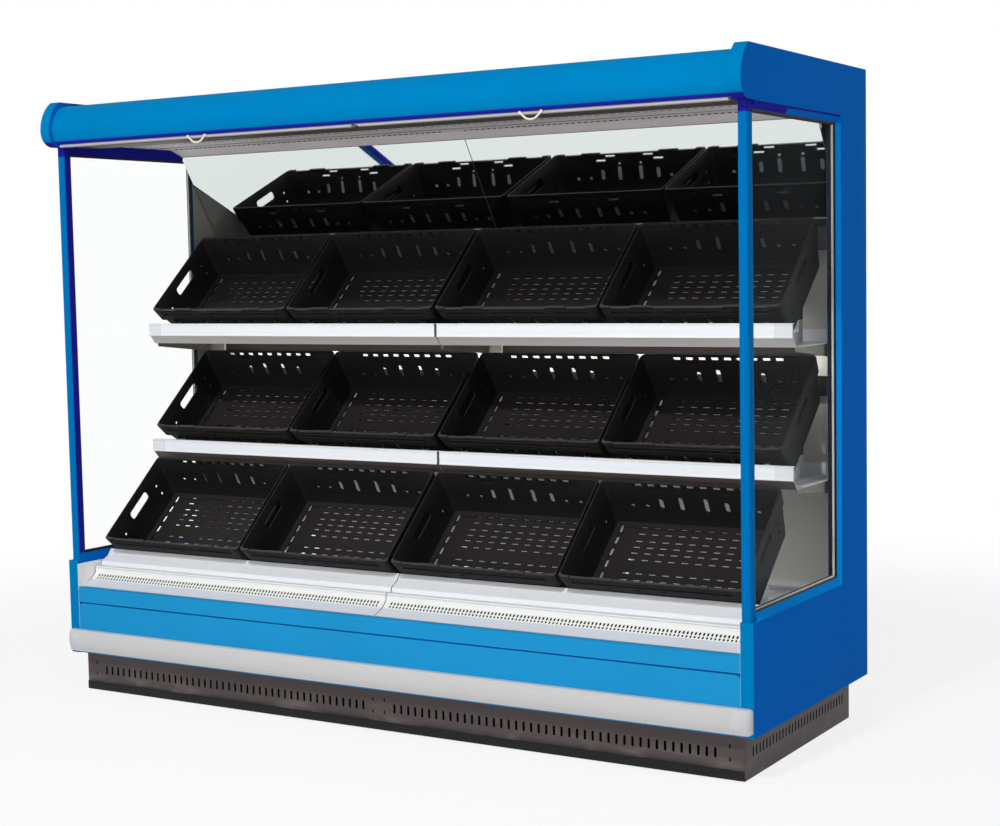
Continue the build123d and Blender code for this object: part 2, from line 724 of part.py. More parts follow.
def grille(side):
    """The slotted air-return grille of one bay, in front of the deck."""
    run = [(GRILLE_START[0] + SHEET, GRILLE_START[1] + 1), GRILLE_FOLD, GRILLE_TOP, (GRILLE_TOP[0], DECK_Z)]
    sheet = prism(folded(run, -SHEET), (1.5, BAY_W - 4.0))
    lean = degrees(atan2(GRILLE_TOP[1] - GRILLE_FOLD[1], GRILLE_TOP[0] - GRILLE_FOLD[0]))
    middle = [(a + b) / 2 for a, b in zip(GRILLE_FOLD, GRILLE_TOP)]
    length = hypot(GRILLE_TOP[0] - GRILLE_FOLD[0], GRILLE_TOP[1] - GRILLE_FOLD[1]) - 10.0
    step = (BAY_W - 120.0) / GRILLE_SLOTS
    for i in range(GRILLE_SLOTS):
        x = 60.0 + (i + 0.5) * step
        sheet -= Pos(x, *middle) * Rot(lean, 0, 0) * Box(GRILLE_SLOT_W, length, 12)
    return sided(sheet, side)


def fan_places():
    """X of the fans' shafts."""
    return {name: side * BAY_W / 2 for name, side in SIDES.items()}


def fan_z():
    """Height of the fans' shafts, half way up the space under the deck."""
    return (FLOOR_Z + DECK_Z) / 2


def along_y(radius, y, x, sides=0):
    """A bar along Y at a fan's height, round or with a number of sides."""
    face = RegularPolygon(radius, sides, major_radius=False) if sides else Circle(radius)
    return extrude(Pos(x, y[0], fan_z()) * Rot(-90, 0, 0) * face, y[1] - y[0])


def fan_plate():
    """The plate across the tub with the fans' openings, motors and spider arms."""
    y = (FAN_Y, FAN_Y + SHEET)
    plate = block((4.0 - BAY_W, BAY_W - 4.0), y, (FLOOR_Z, DECK_Z))
    for x in fan_places().values():
        plate -= along_y(FAN_R + 8, (y[0] - 1, y[1] + 1), x, 12)
        arm = block((x - FAN_R - 20, x + FAN_R + 20), (y[1], y[1] + 4), (fan_z() - 6, fan_z() + 6))
        plate += arm
        plate += block((x - 6, x + 6), (y[1], y[1] + 4), (FLOOR_Z, DECK_Z))
        plate += along_y(MOTOR_R, (y[1], y[1] + MOTOR_L), x, 10)
        plate += along_y(SHAFT_R, (y[0] - 28, y[1] + 1), x)
    return plate


def fan(x):
    """A fan rotor: a hub on the motor's shaft and pitched blades."""
    y = (FAN_Y - 26, FAN_Y - 2)
    hub = along_y(FAN_HUB_R, y, x, 10)
    for i in range(FAN_BLADES):
        reach = FAN_R - FAN_HUB_R + 6
        blade = Pos(FAN_HUB_R - 6 + reach / 2, 0, 0) * Rot(FAN_PITCH, 0, 0) * Box(reach, 2.5, 40)
        hub += Pos(x, (y[0] + y[1]) / 2, fan_z()) * Rot(0, 360 / FAN_BLADES * i, 0) * blade
    return hub - along_y(SHAFT_R + RUN_CLEAR, (y[0] - 9, y[1] + 9), x)


def evaporator():
    """The finned cooling coil, with its end plates and return bends."""
    half = BAY_W - 180.0
    z0, z1 = FLOOR_Z, FLOOR_Z + COIL_H
    step = 2 * half / COIL_FINS
    comb = [(-half, z0), (half, z0)]
    for i in range(COIL_FINS):
        right = half - i * step
        comb += [(right, z1), (right - step * 0.45, z1), (right - step * 0.45, z0 + 20)]
        if i < COIL_FINS - 1:
            comb.append((right - step, z0 + 20))
    comb.append((-half, z0 + 20))
    face = make_face(Polyline(*comb, close=True))
    coil = extrude(Plane.XZ.offset(-COIL_Y) * face, -COIL_D)
    plate = 3.0
    for x in ((-half - plate, -half), (half, half + plate)):
        coil += block(x, (COIL_Y - 10, COIL_Y + COIL_D + 10), (z0, z1 + 10))
    x, z = -half - plate, z0 + COIL_H / 2
    for i in range(3):
        y = COIL_Y + (i + 0.5) * COIL_D / 3
        half_bend = [(x, -28), (x - 18, -28), (x - 34, -12)]
        run = half_bend + [(a, -b) for a, b in reversed(half_bend)]
        coil += pipe([(a, y + b, z) for a, b in run], RegularPolygon(8, 8))
    return coil


def pipe(points, section):
    """A pipe with mitred corners along a run of points."""
    path = Polyline(*points)
    return sweep(Plane(path @ 0, z_dir=path % 0) * section, path, transition=Transition.RIGHT)


def pipework():
    """The two refrigerant pipes from the coil down through the tub's floor."""
    x, y = pipe_place()
    start = BAY_W - 180.0 + 3.0
    z = FLOOR_Z + COIL_H / 2
    suction = pipe([(start, y, z), (x, y, z), (x, y, PIPE_DOWN)], RegularPolygon(PIPE_R, 10))
    y += 42.0
    z += 30.0
    liquid = pipe([(start, y, z), (x, y, z), (x, y, PIPE_DOWN)], RegularPolygon(LIQUID_R, 8))
    return group([suction, liquid])


def along_x(radius, x, y, z):
    """A round bar along X."""
    return Pos((x[0] + x[1]) / 2, y, z) * Rot(0, 90, 0) * Cylinder(radius, x[1] - x[0])


def roller(side):
    """The tube of a night blind with its axle ends."""
    tube = along_x(ROLLER_R, (12.0, BAY_W - 12.0), ROLLER_Y, ROLLER_Z)
    axle = along_x(AXLE_R, (3.0, BAY_W - 3.0), ROLLER_Y, ROLLER_Z)
    return sided(tube + axle, side)


def roller_brackets():
    """The hangers under the roof that carry the rollers' axles."""
    plates = []
    for x in ((2.0, 7.0), (BAY_W - 7.0, BAY_W - 2.0)):
        z = (ROLLER_Z - 22, ROLLER_Z + 12)
        plate = block(x, (ROLLER_Y - 16, ROLLER_Y + 16), z)
        plate += block(x, (ROLLER_Y, ROLLER_Y + 16), (z[1] - 1, ROOF_Z - ROOF_T))
        plate -= along_x(AXLE_R + RUN_CLEAR, (x[0] - 1, x[1] + 1), ROLLER_Y, ROLLER_Z)
        plates += [sided(plate, side) for side in SIDES.values()]
    return group(plates)


def cloth(side):
    """A blind's cloth: the roll on its tube and the strip down to the bar."""
    x = (BLIND_MARGIN, BAY_W - BLIND_MARGIN)
    roll = along_x(ROLL_R, x, ROLLER_Y, ROLLER_Z)
    front = ROLLER_Y - ROLL_R
    roll += block(x, (front, front + CLOTH_T), (BAR_TOP_Z + RUN_CLEAR, ROLLER_Z))
    roll -= along_x(ROLLER_R + 0.5, (0, BAY_W), ROLLER_Y, ROLLER_Z)
    return sided(roll, side)


def blind_bar(side):
    """The bottom bar of a blind, with its pull hanging in front."""
    y0, y1 = BAR_Y - BAR_D / 2, BAR_Y + BAR_D / 2
    z1 = BAR_TOP_Z
    z0 = z1 - BAR_H
    ease = 3.0
    outline = [
        (y0 + ease, z0), (y1 - ease, z0), (y1, z0 + ease), (y1, z1 - ease), (y1 - ease, z1),
        (y0 + ease + 4, z1), (y0, z1 - ease - 4), (y0, z0 + ease),
    ]
    bar = prism(outline, (BLIND_MARGIN - 2, BAY_W - BLIND_MARGIN + 2))
    x, half = BAY_W / 2, PULL_W / 2
    top, low = z0 + 9.0, z0 + 9.0 - PULL_H
    y = (y0 - PULL_BAR, y0)
    for leg in (x - half, x + half - PULL_BAR):
        bar += block((leg, leg + PULL_BAR), y, (low + PULL_BAR, top))
    right = [(half - 14, low), (half, low + PULL_BAR)]
    grip = [(x + a, z) for a, z in right] + [(x - a, z) for a, z in reversed(right)]
    face = make_face(Polyline(*grip, close=True))
    bar += extrude(Plane.XZ.offset(-y[1]) * face, PULL_BAR)
    return sided(bar, side)


def pieces():
    """Every node of the case, by name."""
    low_front, up_front = front_panels()
    nodes = {
        "base_frame": base_frame(),
        "levelling_feet": levelling_feet(),
        "plinth": plinth(),
        "tub": tub(),
        "back_wall": back_wall(),
        "front_panel_lower": low_front,
        "front_panel_upper": up_front,
        "bumper": bumper(),
        "bumper_caps": group([bumper_cap(side) for side in SIDES.values()]),
        "glass_seals": group([glass_seal(side) for side in SIDES.values()]),
        "front_posts": group([post(side) for side in SIDES.values()]),
        "canopy_fascia": fascia(),
        "roof_panel": roof(),
        "canopy_soffit": soffit(),
        "air_honeycomb": honeycomb(),
        "canopy_lamp": lamp(),
        "uprights": uprights(),
        "shelf_brackets": brackets(),
        "price_rails": price_rails(),
        "fan_plate": fan_plate(),
        "evaporator": evaporator(),
        "pipework": pipework(),
        "roller_brackets": roller_brackets(),
    }
    sided_nodes = {
        "end": end, "glass": glass, "mirror": mirror_plate, "back_liner": liner, "deck": deck,
        "return_grille": grille, "blind_roller": roller, "blind_cloth": cloth, "blind_bar": blind_bar,
    }
    for name, make in sided_nodes.items():
        nodes |= {f"{name}_{word}": make(side) for word, side in SIDES.items()}
    for level, row in (("upper", UPPER_ROW), ("lower", LOWER_ROW)):
        nodes |= {f"shelf_{level}_{word}": shelf(row, side) for word, side in SIDES.items()}
    nodes |= {f"fan_{word}": fan(x) for word, x in fan_places().items()}
    shape = crate()
    for level, row in (("upper", UPPER_ROW), ("lower", LOWER_ROW), ("deck", DECK_ROW)):
        for i, x in enumerate(crate_middles()):
            nodes[f"crate_{level}_{i + 1}"] = place_crate(shape, x, row)
    return nodes


def main():
    """Writes one STEP file for each node."""
    os.makedirs("parts", exist_ok=True)
    for name, piece in pieces().items():
        export_step(Pos(0, DEPTH_SHIFT, 0) * piece, f"parts/{name}.step")


main()
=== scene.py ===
"""Looks of an open-front refrigerated display case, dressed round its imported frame.

Lengths are metres in the frame's own axes: +X to the customer's right, -Y towards the customer, +Z up.
Places come from the frame's nodes, and each sub-assembly below is one class.
"""

import logging
import math
from dataclasses import dataclass, replace
from enum import Enum
from typing import Iterator, Sequence

import bmesh
import bpy
from mathutils import Euler, Matrix, Vector


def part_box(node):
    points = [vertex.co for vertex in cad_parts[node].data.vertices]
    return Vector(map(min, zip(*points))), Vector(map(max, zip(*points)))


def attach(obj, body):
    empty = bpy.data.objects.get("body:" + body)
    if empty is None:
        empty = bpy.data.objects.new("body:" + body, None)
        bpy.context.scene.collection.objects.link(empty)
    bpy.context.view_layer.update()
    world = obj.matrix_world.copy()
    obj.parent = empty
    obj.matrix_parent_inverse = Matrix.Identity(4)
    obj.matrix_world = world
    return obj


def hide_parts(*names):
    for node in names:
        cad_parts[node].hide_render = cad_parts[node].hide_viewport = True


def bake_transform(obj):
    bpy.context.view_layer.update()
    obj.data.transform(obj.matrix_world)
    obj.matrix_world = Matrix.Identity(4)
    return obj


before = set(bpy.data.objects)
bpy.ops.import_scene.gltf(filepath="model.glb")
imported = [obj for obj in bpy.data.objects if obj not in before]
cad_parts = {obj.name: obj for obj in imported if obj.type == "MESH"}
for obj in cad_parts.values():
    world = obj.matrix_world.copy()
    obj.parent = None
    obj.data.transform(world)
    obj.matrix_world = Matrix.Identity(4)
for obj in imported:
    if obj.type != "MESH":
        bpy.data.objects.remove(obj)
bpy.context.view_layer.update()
WINDOW_LOW, WINDOW_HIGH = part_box("glass_left")
LOG = logging.getLogger("display_case")

Point = tuple[float, float]
Spot = tuple[float, float, float]
Opening = tuple[float, float, float, float]
Colour = tuple[float, float, float, float]

CASE = "case"
PURE_WHITE: Colour = (1.0, 1.0, 1.0, 1.0)
CRATE_TILT = math.radians(42.0)
MIRROR_LEAN = math.radians(33.0)

# Where a surface can face
UP = (0, 0, 1)
DOWN = (0, 0, -1)
FRONT = (0, -1, 0)
RIGHT = (1, 0, 0)

# Edges that turn by more degrees than these stay sharp
SHEET_CREASE = 32.0
MOULDED_CREASE = 40.0
CAP_CREASE = 50.0
CLOTH_CREASE = 60.0
BEVEL_ANGLE = 35.0

# Points closer than this are one before edges are eased
WELD = 0.00001

# The largest share of a side that one rounded corner takes
CORNER_SHARE = 0.49

# Where an outline's two axes and its depth go: the outline is carried along the named axis
ALONG_X = Matrix(((0, 0, 1, 0), (1, 0, 0, 0), (0, 1, 0, 0), (0, 0, 0, 1)))
ALONG_Y = Matrix(((1, 0, 0, 0), (0, 0, 1, 0), (0, 1, 0, 0), (0, 0, 0, 1)))
ALONG_Z = Matrix.Identity(4)


class Side(Enum):
    """The two bays of the case, with the sign of their X."""

    LEFT = -1
    RIGHT = 1

    def node(self, stem: str) -> str:
        """The name of a node or piece on this side."""
        return f"{stem}_{self.name.lower()}"

    def span(self, inner: float, outer: float) -> list[float]:
        """X of two places of this bay, the lower one first."""
        return sorted((self.value * inner, self.value * outer))


class Level(Enum):
    """The three rows of crates."""

    UPPER = "upper"
    LOWER = "lower"
    DECK = "deck"

    def crate(self, number: int = 1) -> str:
        """The name of one of the row's crates."""
        return f"crate_{self.value}_{number}"


def paint(red: int, green: int, blue: int) -> Colour:
    """A linear colour from its display values.

    Args:
        red: Red from 0 to 255.
        green: Green from 0 to 255.
        blue: Blue from 0 to 255.

    Returns:
        The colour as the shader takes it.
    """
    shares = [value / 255 for value in (red, green, blue)]
    linear = [c / 12.92 if c <= 0.04045 else ((c + 0.055) / 1.055) ** 2.4 for c in shares]
    return (*linear, 1.0)


def scaled(colour: Colour, factor: float) -> Colour:
    """The same colour, lighter or darker."""
    return (*(min(1.0, c * factor) for c in colour[:3]), 1.0)


class Value:
    """A node's output that takes part in arithmetic; each operator adds a Math node."""

    def __init__(self, nodes: "Nodes", node: bpy.types.Node, output: int | str = 0) -> None:
        """Keeps the node, its output's number or name, and the tree that it is in."""
        self.nodes = nodes
        self.node = node
        self.output = output

    @property
    def socket(self) -> bpy.types.NodeSocket:
        """The output itself."""
        return self.node.outputs[self.output]

    def other(self, output: int | str) -> "Value":
        """Another output of the same node."""
        return Value(self.nodes, self.node, output)

    def math(self, operation: str, *others: "Value | float") -> "Value":
        """A Math node with this value as its first input.

        Args:
            operation: The Math node's operation.
            others: Its other inputs.

        Returns:
            The node's result.
        """
        inputs = dict(enumerate((self, *others)))
        return self.nodes.node("ShaderNodeMath", {"operation": operation}, inputs)

    def __add__(self, other: "Value | float") -> "Value":
        """Sum."""
        return self.math("ADD", other)

    __radd__ = __add__

    def __sub__(self, other: "Value | float") -> "Value":
        """Difference."""
        return self.math("SUBTRACT", other)

    def __rsub__(self, other: float) -> "Value":
        """A number less this value."""
        return self.math("MULTIPLY_ADD", -1.0, other)

    def __mul__(self, other: "Value | float") -> "Value":
        """Product."""
        return self.math("MULTIPLY", other)

    __rmul__ = __mul__

    def __abs__(self) -> "Value":
        """Size without its sign."""
        return self.math("ABSOLUTE")

    def __lt__(self, other: "Value | float") -> "Value":
        """1 where this is less."""
        return self.math("LESS_THAN", other)

    def __gt__(self, other: "Value | float") -> "Value":
        """1 where this is more."""
        return self.math("GREATER_THAN", other)

    def either(self, other: "Value") -> "Value":
        """The greater of two values, which joins two masks."""
        return self.math("MAXIMUM", other)

    def between(self, low: float, high: float) -> "Value":
        """A smooth rise from 0 at low to 1 at high."""
        inputs = {"Value": self, "From Min": low, "From Max": high}
        return self.nodes.node("ShaderNodeMapRange", {"interpolation_type": "SMOOTHSTEP"}, inputs)


class Nodes:
    """A node tree, with one method that adds any node to it."""

    def __init__(self, tree: bpy.types.NodeTree) -> None:
        """Keeps the tree."""
        self.tree = tree

    def node(
        self, kind: str, settings: dict | None = None, inputs: dict | None = None, output: int | str = 0
    ) -> Value:
        """Any shader node.

        Args:
            kind: The node's type.
            settings: Its own settings, set first.
            inputs: Values or links of its sockets, by name or number.
            output: The number or name of the output that is wanted.

        Returns:
            That output.
        """
        made = self.tree.nodes.new(kind)
        for key, setting in (settings or {}).items():
            setattr(made, key, setting)
        for key, value in (inputs or {}).items():
            self.feed(made.inputs[key], value)
        return Value(self, made, output)

    def feed(self, socket: bpy.types.NodeSocket, value: Value | float | Sequence[float]) -> None:
        """Links a value to a socket, or sets a constant on it.

        Args:
            socket: A node's input.
            value: What it takes.
        """
        if isinstance(value, Value):
            self.tree.links.new(value.socket, socket)
        else:
            socket.default_value = value

    def blend(self, share: Value, first: Value, second: Value) -> Value:
        """A shader between two others."""
        return self.node("ShaderNodeMixShader", None, {0: share, 1: first, 2: second})

    def seen(self) -> Value:
        """A mask of the rays that show a surface to the eye, straight, in gloss or through glass.

        Returns:
            1 for those rays.
        """
        straight = self.node("ShaderNodeLightPath", output="Is Camera Ray")
        gloss, glass = (straight.other(name) for name in ("Is Glossy Ray", "Is Transmission Ray"))
        return straight.either(gloss).either(glass)


@dataclass(frozen=True)
class Mottle:
    """A pattern of noise: features per metre, octaves, stretch by axis and the band spread to 0 to 1."""

    scale: float
    detail: float = 2.0
    stretch: Spot | None = None
    band: Point | None = None


class Shader(Nodes):
    """The node tree of one material, with its Principled shader."""

    def __init__(self, name: str) -> None:
        """Starts a material with a Principled shader on its output."""
        self.material = bpy.data.materials.new(name)
        self.material.use_nodes = True
        super().__init__(self.material.node_tree)
        self.bsdf = self.tree.nodes["Principled BSDF"]
        self.coordinates = self.node("ShaderNodeTexCoord", output="Object")

    def set(self, **inputs: Value | float | Sequence[float]) -> None:
        """Feeds the Principled shader; an underscore in a name stands for a space."""
        for key, value in inputs.items():
            self.feed(self.bsdf.inputs[key.replace("_", " ")], value)

    def surface(self, result: Value) -> None:
        """Puts a shader on the output, and takes the Principled one away where that has no part in it.

        Args:
            result: The shader.
        """
        self.feed(self.tree.nodes["Material Output"].inputs["Surface"], result)
        if not self.bsdf.outputs[0].is_linked:
            self.tree.nodes.remove(self.bsdf)

    @property
    def main(self) -> Value:
        """The Principled shader's result."""
        return Value(self, self.bsdf)

    def axes(self) -> tuple[Value, Value, Value]:
        """The piece's own X, Y and Z."""
        split = self.node("ShaderNodeSeparateXYZ", None, {0: self.coordinates})
        return tuple(split.other(axis) for axis in "XYZ")

    def noise(self, mottle: Mottle) -> Value:
        """Noise over the surface.

        Args:
            mottle: Its pattern.

        Returns:
            The noise, about 0.5 where the pattern has no band.
        """
        place = self.coordinates
        if mottle.stretch:
            inputs = {0: place, 1: mottle.stretch}
            place = self.node("ShaderNodeVectorMath", {"operation": "MULTIPLY"}, inputs)
        inputs = {"Vector": place, "Scale": mottle.scale, "Detail": mottle.detail}
        noise = self.node("ShaderNodeTexNoise", None, inputs)
        return noise.between(*mottle.band) if mottle.band else noise

    def mix(self, share: Value, first: Colour | Value, second: Colour | Value) -> Value:
        """A colour between two others; the numbers are the Mix node's sockets for colours."""
        return self.node("ShaderNodeMix", {"data_type": "RGBA"}, {0: share, 6: first, 7: second}, output=2)

    def facing(self, direction: Spot) -> Value:
        """The cosine between the surface's own normal and a direction."""
        inputs = {0: self.node("ShaderNodeNewGeometry", output="Normal"), 1: direction}
        return self.node("ShaderNodeVectorMath", {"operation": "DOT_PRODUCT"}, inputs, output="Value")

    def bump(self, height: Value, depth: float) -> None:
        """Raises the surface by a height of 0 to 1 times a depth in metres."""
        self.set(Normal=self.node("ShaderNodeBump", None, {"Height": height, "Distance": depth}))


@dataclass(frozen=True)
class Finish:
    """A finish with the record's slot that it belongs to."""

    name: str
    slot: str

    def material(self) -> bpy.types.Material:
        """The finish's material, made on first use.

        Returns:
            The material.
        """
        name = f"finish_{self.name}"
        found = bpy.data.materials.get(name)
        if found is None:
            shader = Shader(name)
            self.apply(shader)
            found = shader.material
        return found

    def apply(self, shader: Shader) -> None:
        """Builds the finish's nodes."""
        raise NotImplementedError


@dataclass(frozen=True)
class PowderCoat(Finish):
    """Baked powder coat on sheet metal: slow drift of tone, orange peel and dust near the floor."""

    colour: Colour = PURE_WHITE
    roughness: float = 0.45
    gloss: float = 0.15
    drift: float = 0.05
    peel: float = 0.00005
    dust_top: float = 0.0
    dust: Colour = paint(150, 146, 140)
    dust_share: float = 0.35
    dust_patches: Point = (0.45, 0.75)
    dust_rough: float = 0.4
    clouds: Mottle = Mottle(2.2, 4.0, band=(0.3, 0.7))
    grains: Mottle = Mottle(650.0)
    grain_rough: float = 0.05
    smears: Mottle = Mottle(9.0, 5.0, (1.0, 1.0, 3.0))
    smear_rough: float = 0.12

    def tone(self, shader: Shader) -> Value:
        """The coat's colour over the surface."""
        tones = (scaled(self.colour, share) for share in (1 - self.drift, 1 + self.drift))
        return shader.mix(shader.noise(self.clouds), *tones)

    def apply(self, shader: Shader) -> None:
        """Builds the finish's nodes.

        Args:
            shader: The material that takes them.
        """
        grain = shader.noise(self.grains)
        smear = shader.noise(self.smears)
        tone = self.tone(shader)
        rough = (grain - 0.5) * self.grain_rough + (smear - 0.5) * self.smear_rough + self.roughness
        if self.dust_top:
            low = 1 - shader.axes()[2].between(0.0, self.dust_top)
            settled = low * smear.between(*self.dust_patches) * self.dust_share
            tone = shader.mix(settled, tone, self.dust)
            rough = rough + settled * self.dust_rough
        shader.set(Base_Color=tone, Roughness=rough, Specular_IOR_Level=self.gloss)
        shader.bump(grain, self.peel)


@dataclass(frozen=True)
class ShadedCoat(PowderCoat):
    """Powder coat with navy shade painted on faces that look down, or into the case from its ends, and
    above a given height.
    """

    # painted shade: the navy stands in for the shadow on faces that look down or into the case
    painted_shade: Colour = PURE_WHITE
    turned_under: Point = (0.48, 0.54)
    end_x: float = 1.2
    inward_z: Point = (0.4855, 1.8875)
    canopy_y: float = -0.362
    # Where given, the coat is painted navy as shade above this height
    painted_shadow_z: float | None = None

    def shade(self, shader: Shader) -> Value:
        """A mask of the faces that get painted shade.

        Args:
            shader: The material that it is for.

        Returns:
            1 where shade is painted.
        """
        x, y, z = shader.axes()
        under = shader.facing(DOWN).between(*self.turned_under)
        beside = (z < self.inward_z[1]).either(y > self.canopy_y) * (z > self.inward_z[0])
        inward = (x * shader.facing(RIGHT) < -self.end_x) * beside
        painted_shade = under.either(inward)
        return painted_shade if self.painted_shadow_z is None else painted_shade.either(z > self.painted_shadow_z)

    def tone(self, shader: Shader) -> Value:
        """The coat's colour over the surface."""
        return shader.mix(self.shade(shader), super().tone(shader), self.painted_shade)


@dataclass(frozen=True)
class LinedCoat(ShadedCoat):
    """Shaded coat of an end: a bluer blue painted on the flank as shade, a lighter blue painted on the
    window's splays as light, navy painted as shade on the window's head, pale beside the deck, grey behind
    the window.
    """

    # painted shade: the flank's bluer blue stands in for the shade that the end's side is in
    flank: Colour = PURE_WHITE
    pale: Colour = PURE_WHITE
    grey: Colour = PURE_WHITE
    # painted light: the splays' lighter blue stands in for light on them
    splay_light: Colour = PURE_WHITE
    splay_x: Point = (1.2765, 1.2897)
    splay_lap: float = 0.02
    opening_z: Point = (0.4595, 1.8885)
    opening_back: float = 0.260
    # The window head's splay is painted navy as shade above this height, and all of it in front of this Y
    head_line: float = 1.881
    head_front: float = -0.14
    lining_x: float = 1.2503
    pale_top: float = 0.449

    def splay(self, shader: Shader) -> Value:
        """A mask of the sloped faces round the window's opening.

        Args:
            shader: The material that it is for.

        Returns:
            1 on those faces.
        """
        x, y, z = shader.axes()
        across = (abs(x) > self.splay_x[0]) * (abs(x) < self.splay_x[1])
        beside = (y > WINDOW_LOW.y - self.splay_lap) * (y < self.opening_back)
        return across * beside * (z > self.opening_z[0]) * (z < self.opening_z[1])

    def tone(self, shader: Shader) -> Value:
        """The coat's colours outside and the linings' inside.

        Args:
            shader: The material that takes them.

        Returns:
            The colour over the surface.
        """
        x, y, z = shader.axes()
        splay = self.splay(shader)
        head = splay * (z > WINDOW_HIGH.z)
        # Painted shade on the flank and the window's head, painted light on the other splays, navy painted
        # as shade on the head
        flat = (abs(x * shader.facing(RIGHT)) > self.end_x).either(head)
        painted_shade = head * (z > self.head_line).either(y < self.head_front)
        tone = shader.mix(flat, PowderCoat.tone(self, shader), self.flank)
        tone = shader.mix(splay * (1 - head), tone, self.splay_light)
        tone = shader.mix(self.shade(shader).either(painted_shade), tone, self.painted_shade)
        inside = abs(x) < self.lining_x
        behind = (y > WINDOW_HIGH.y) * (z < WINDOW_HIGH.z)
        tone = shader.mix(inside * behind, tone, self.grey)
        return shader.mix(inside * (z < self.pale_top), tone, self.pale)


@dataclass(frozen=True)
class ShelfCoat(PowderCoat):
    """Powder coat of a shelf with shade painted in: grey on its apron, dark underneath and on the ribs
    under the crates.
    """

    # painted shade: the apron, underside and rib colours stand in for the shade on those faces
    apron: Colour = PURE_WHITE
    apron_down: float = 0.4
    under: Colour = paint(64, 56, 52)
    under_down: float = 0.9
    rib: Colour = paint(44, 42, 42)
    rib_z: float = 0.0

    def tone(self, shader: Shader) -> Value:
        """The coat's colour over the surface.

        Args:
            shader: The material that takes it.

        Returns:
            The colour.
        """
        down = shader.facing(DOWN)
        tone = shader.mix(down > self.apron_down, super().tone(shader), self.apron)
        tone = shader.mix(down > self.under_down, tone, self.under)
        return shader.mix(shader.axes()[2] > self.rib_z, tone, self.rib)


@dataclass(frozen=True)
class FootCoat(PowderCoat):
    """Powder coat of the plinth, with shade painted black along the foot of its front."""

    # painted shade: the front darkens to black towards the floor
    foot_shade_colour: Colour = paint(12, 11, 11)
    foot_shade_rise: Point = (0.020, 0.052)
    foot_shade_front: float = 0.7

    def tone(self, shader: Shader) -> Value:
        """The coat's colour over the surface."""
        low = (1 - shader.axes()[2].between(*self.foot_shade_rise)) * (shader.facing(FRONT) > self.foot_shade_front)
        return shader.mix(low, super().tone(shader), self.foot_shade_colour)


@dataclass(frozen=True)
class SplitCoat(PowderCoat):
    """Powder coat in two colours, one in front of a line across the case; the soffit's darker front one is
    painted shade.
    """

    front: Colour = PURE_WHITE
    split_y: float = 0.0

    def tone(self, shader: Shader) -> Value:
        """The coat's colour behind the line and the other in front of it."""
        return shader.mix(shader.axes()[1] < self.split_y, super().tone(shader), self.front)


@dataclass(frozen=True)
class GrilleCoat(PowderCoat):
    """Powder coat of the air return, cooler in tone on its flat lip."""

    lip: Colour = PURE_WHITE
    lip_up: float = 0.85

    def tone(self, shader: Shader) -> Value:
        """The coat's colour over the surface."""
        return shader.mix(shader.facing(UP) > self.lip_up, super().tone(shader), self.lip)


@dataclass(frozen=True)
class Moulded(Finish):
    """Moulded plastic with a fine grain, paler rub marks and a little gloss."""

    colour: Colour = PURE_WHITE
    worn: Colour = PURE_WHITE
    roughness: float = 0.42
    grain: float = 0.00006
    rubbed: float = 0.35
    gloss: float = 0.3
    pores: Mottle = Mottle(1100.0)
    pore_rough: float = 0.1
    rubs: Mottle = Mottle(14.0, 6.0, (1.0, 5.0, 5.0), (0.56, 0.8))
    rub_share: float = 0.7
    rub_rough: float = 0.12
    streaks: Mottle = Mottle(60.0, 3.0, (1.0, 0.15, 1.0), (0.5, 0.85))
    streak_share: float = 0.5

    def tone(self, shader: Shader, wear: Value) -> Value:
        """The plastic's colour over the surface."""
        return shader.mix(wear, self.colour, self.worn)

    def apply(self, shader: Shader) -> None:
        """Builds the finish's nodes.

        Args:
            shader: The material that takes them.
        """
        pores, rubs, streaks = (shader.noise(mottle) for mottle in (self.pores, self.rubs, self.streaks))
        wear = (rubs * self.rub_share + streaks * self.streak_share) * self.rubbed
        shader.set(
            Base_Color=self.tone(shader, wear),
            Roughness=(pores - 0.5) * self.pore_rough + rubs * self.rub_rough + self.roughness,
            Specular_IOR_Level=self.gloss,
        )
        shader.bump(pores, self.grain)


@dataclass(frozen=True)
class TippedTray(Moulded):
    """Moulded plastic of a tipped crate, with light painted in: paler on its floor and on the lip's upward
    faces, where light falls.
    """

    # painted light: the floor's paler black stands in for the light that falls on it
    floor: Colour = PURE_WHITE
    floor_looks: Spot = (0.0, -math.sin(CRATE_TILT), math.cos(CRATE_TILT))
    floor_turn: float = 0.97
    # painted light: the front lip's upward faces are paler for the light that falls on them
    lip: Colour = PURE_WHITE
    lip_depth: float = 0.016
    lip_turn: float = 0.6

    def tone(self, shader: Shader, wear: Value) -> Value:
        """The plastic's colour over the surface.

        Args:
            shader: The material that takes it.
            wear: How rubbed the plastic is, from 0 to 1.

        Returns:
            The colour.
        """
        open_way = shader.facing(self.floor_looks)
        # The floor's painted light still shows the rub marks
        floor = shader.mix(wear, self.floor, self.worn)
        tone = shader.mix(open_way > self.floor_turn, super().tone(shader, wear), floor)
        front = shader.axes()[1] < self.lip_depth
        return shader.mix(front * (open_way > self.lip_turn), tone, self.lip)


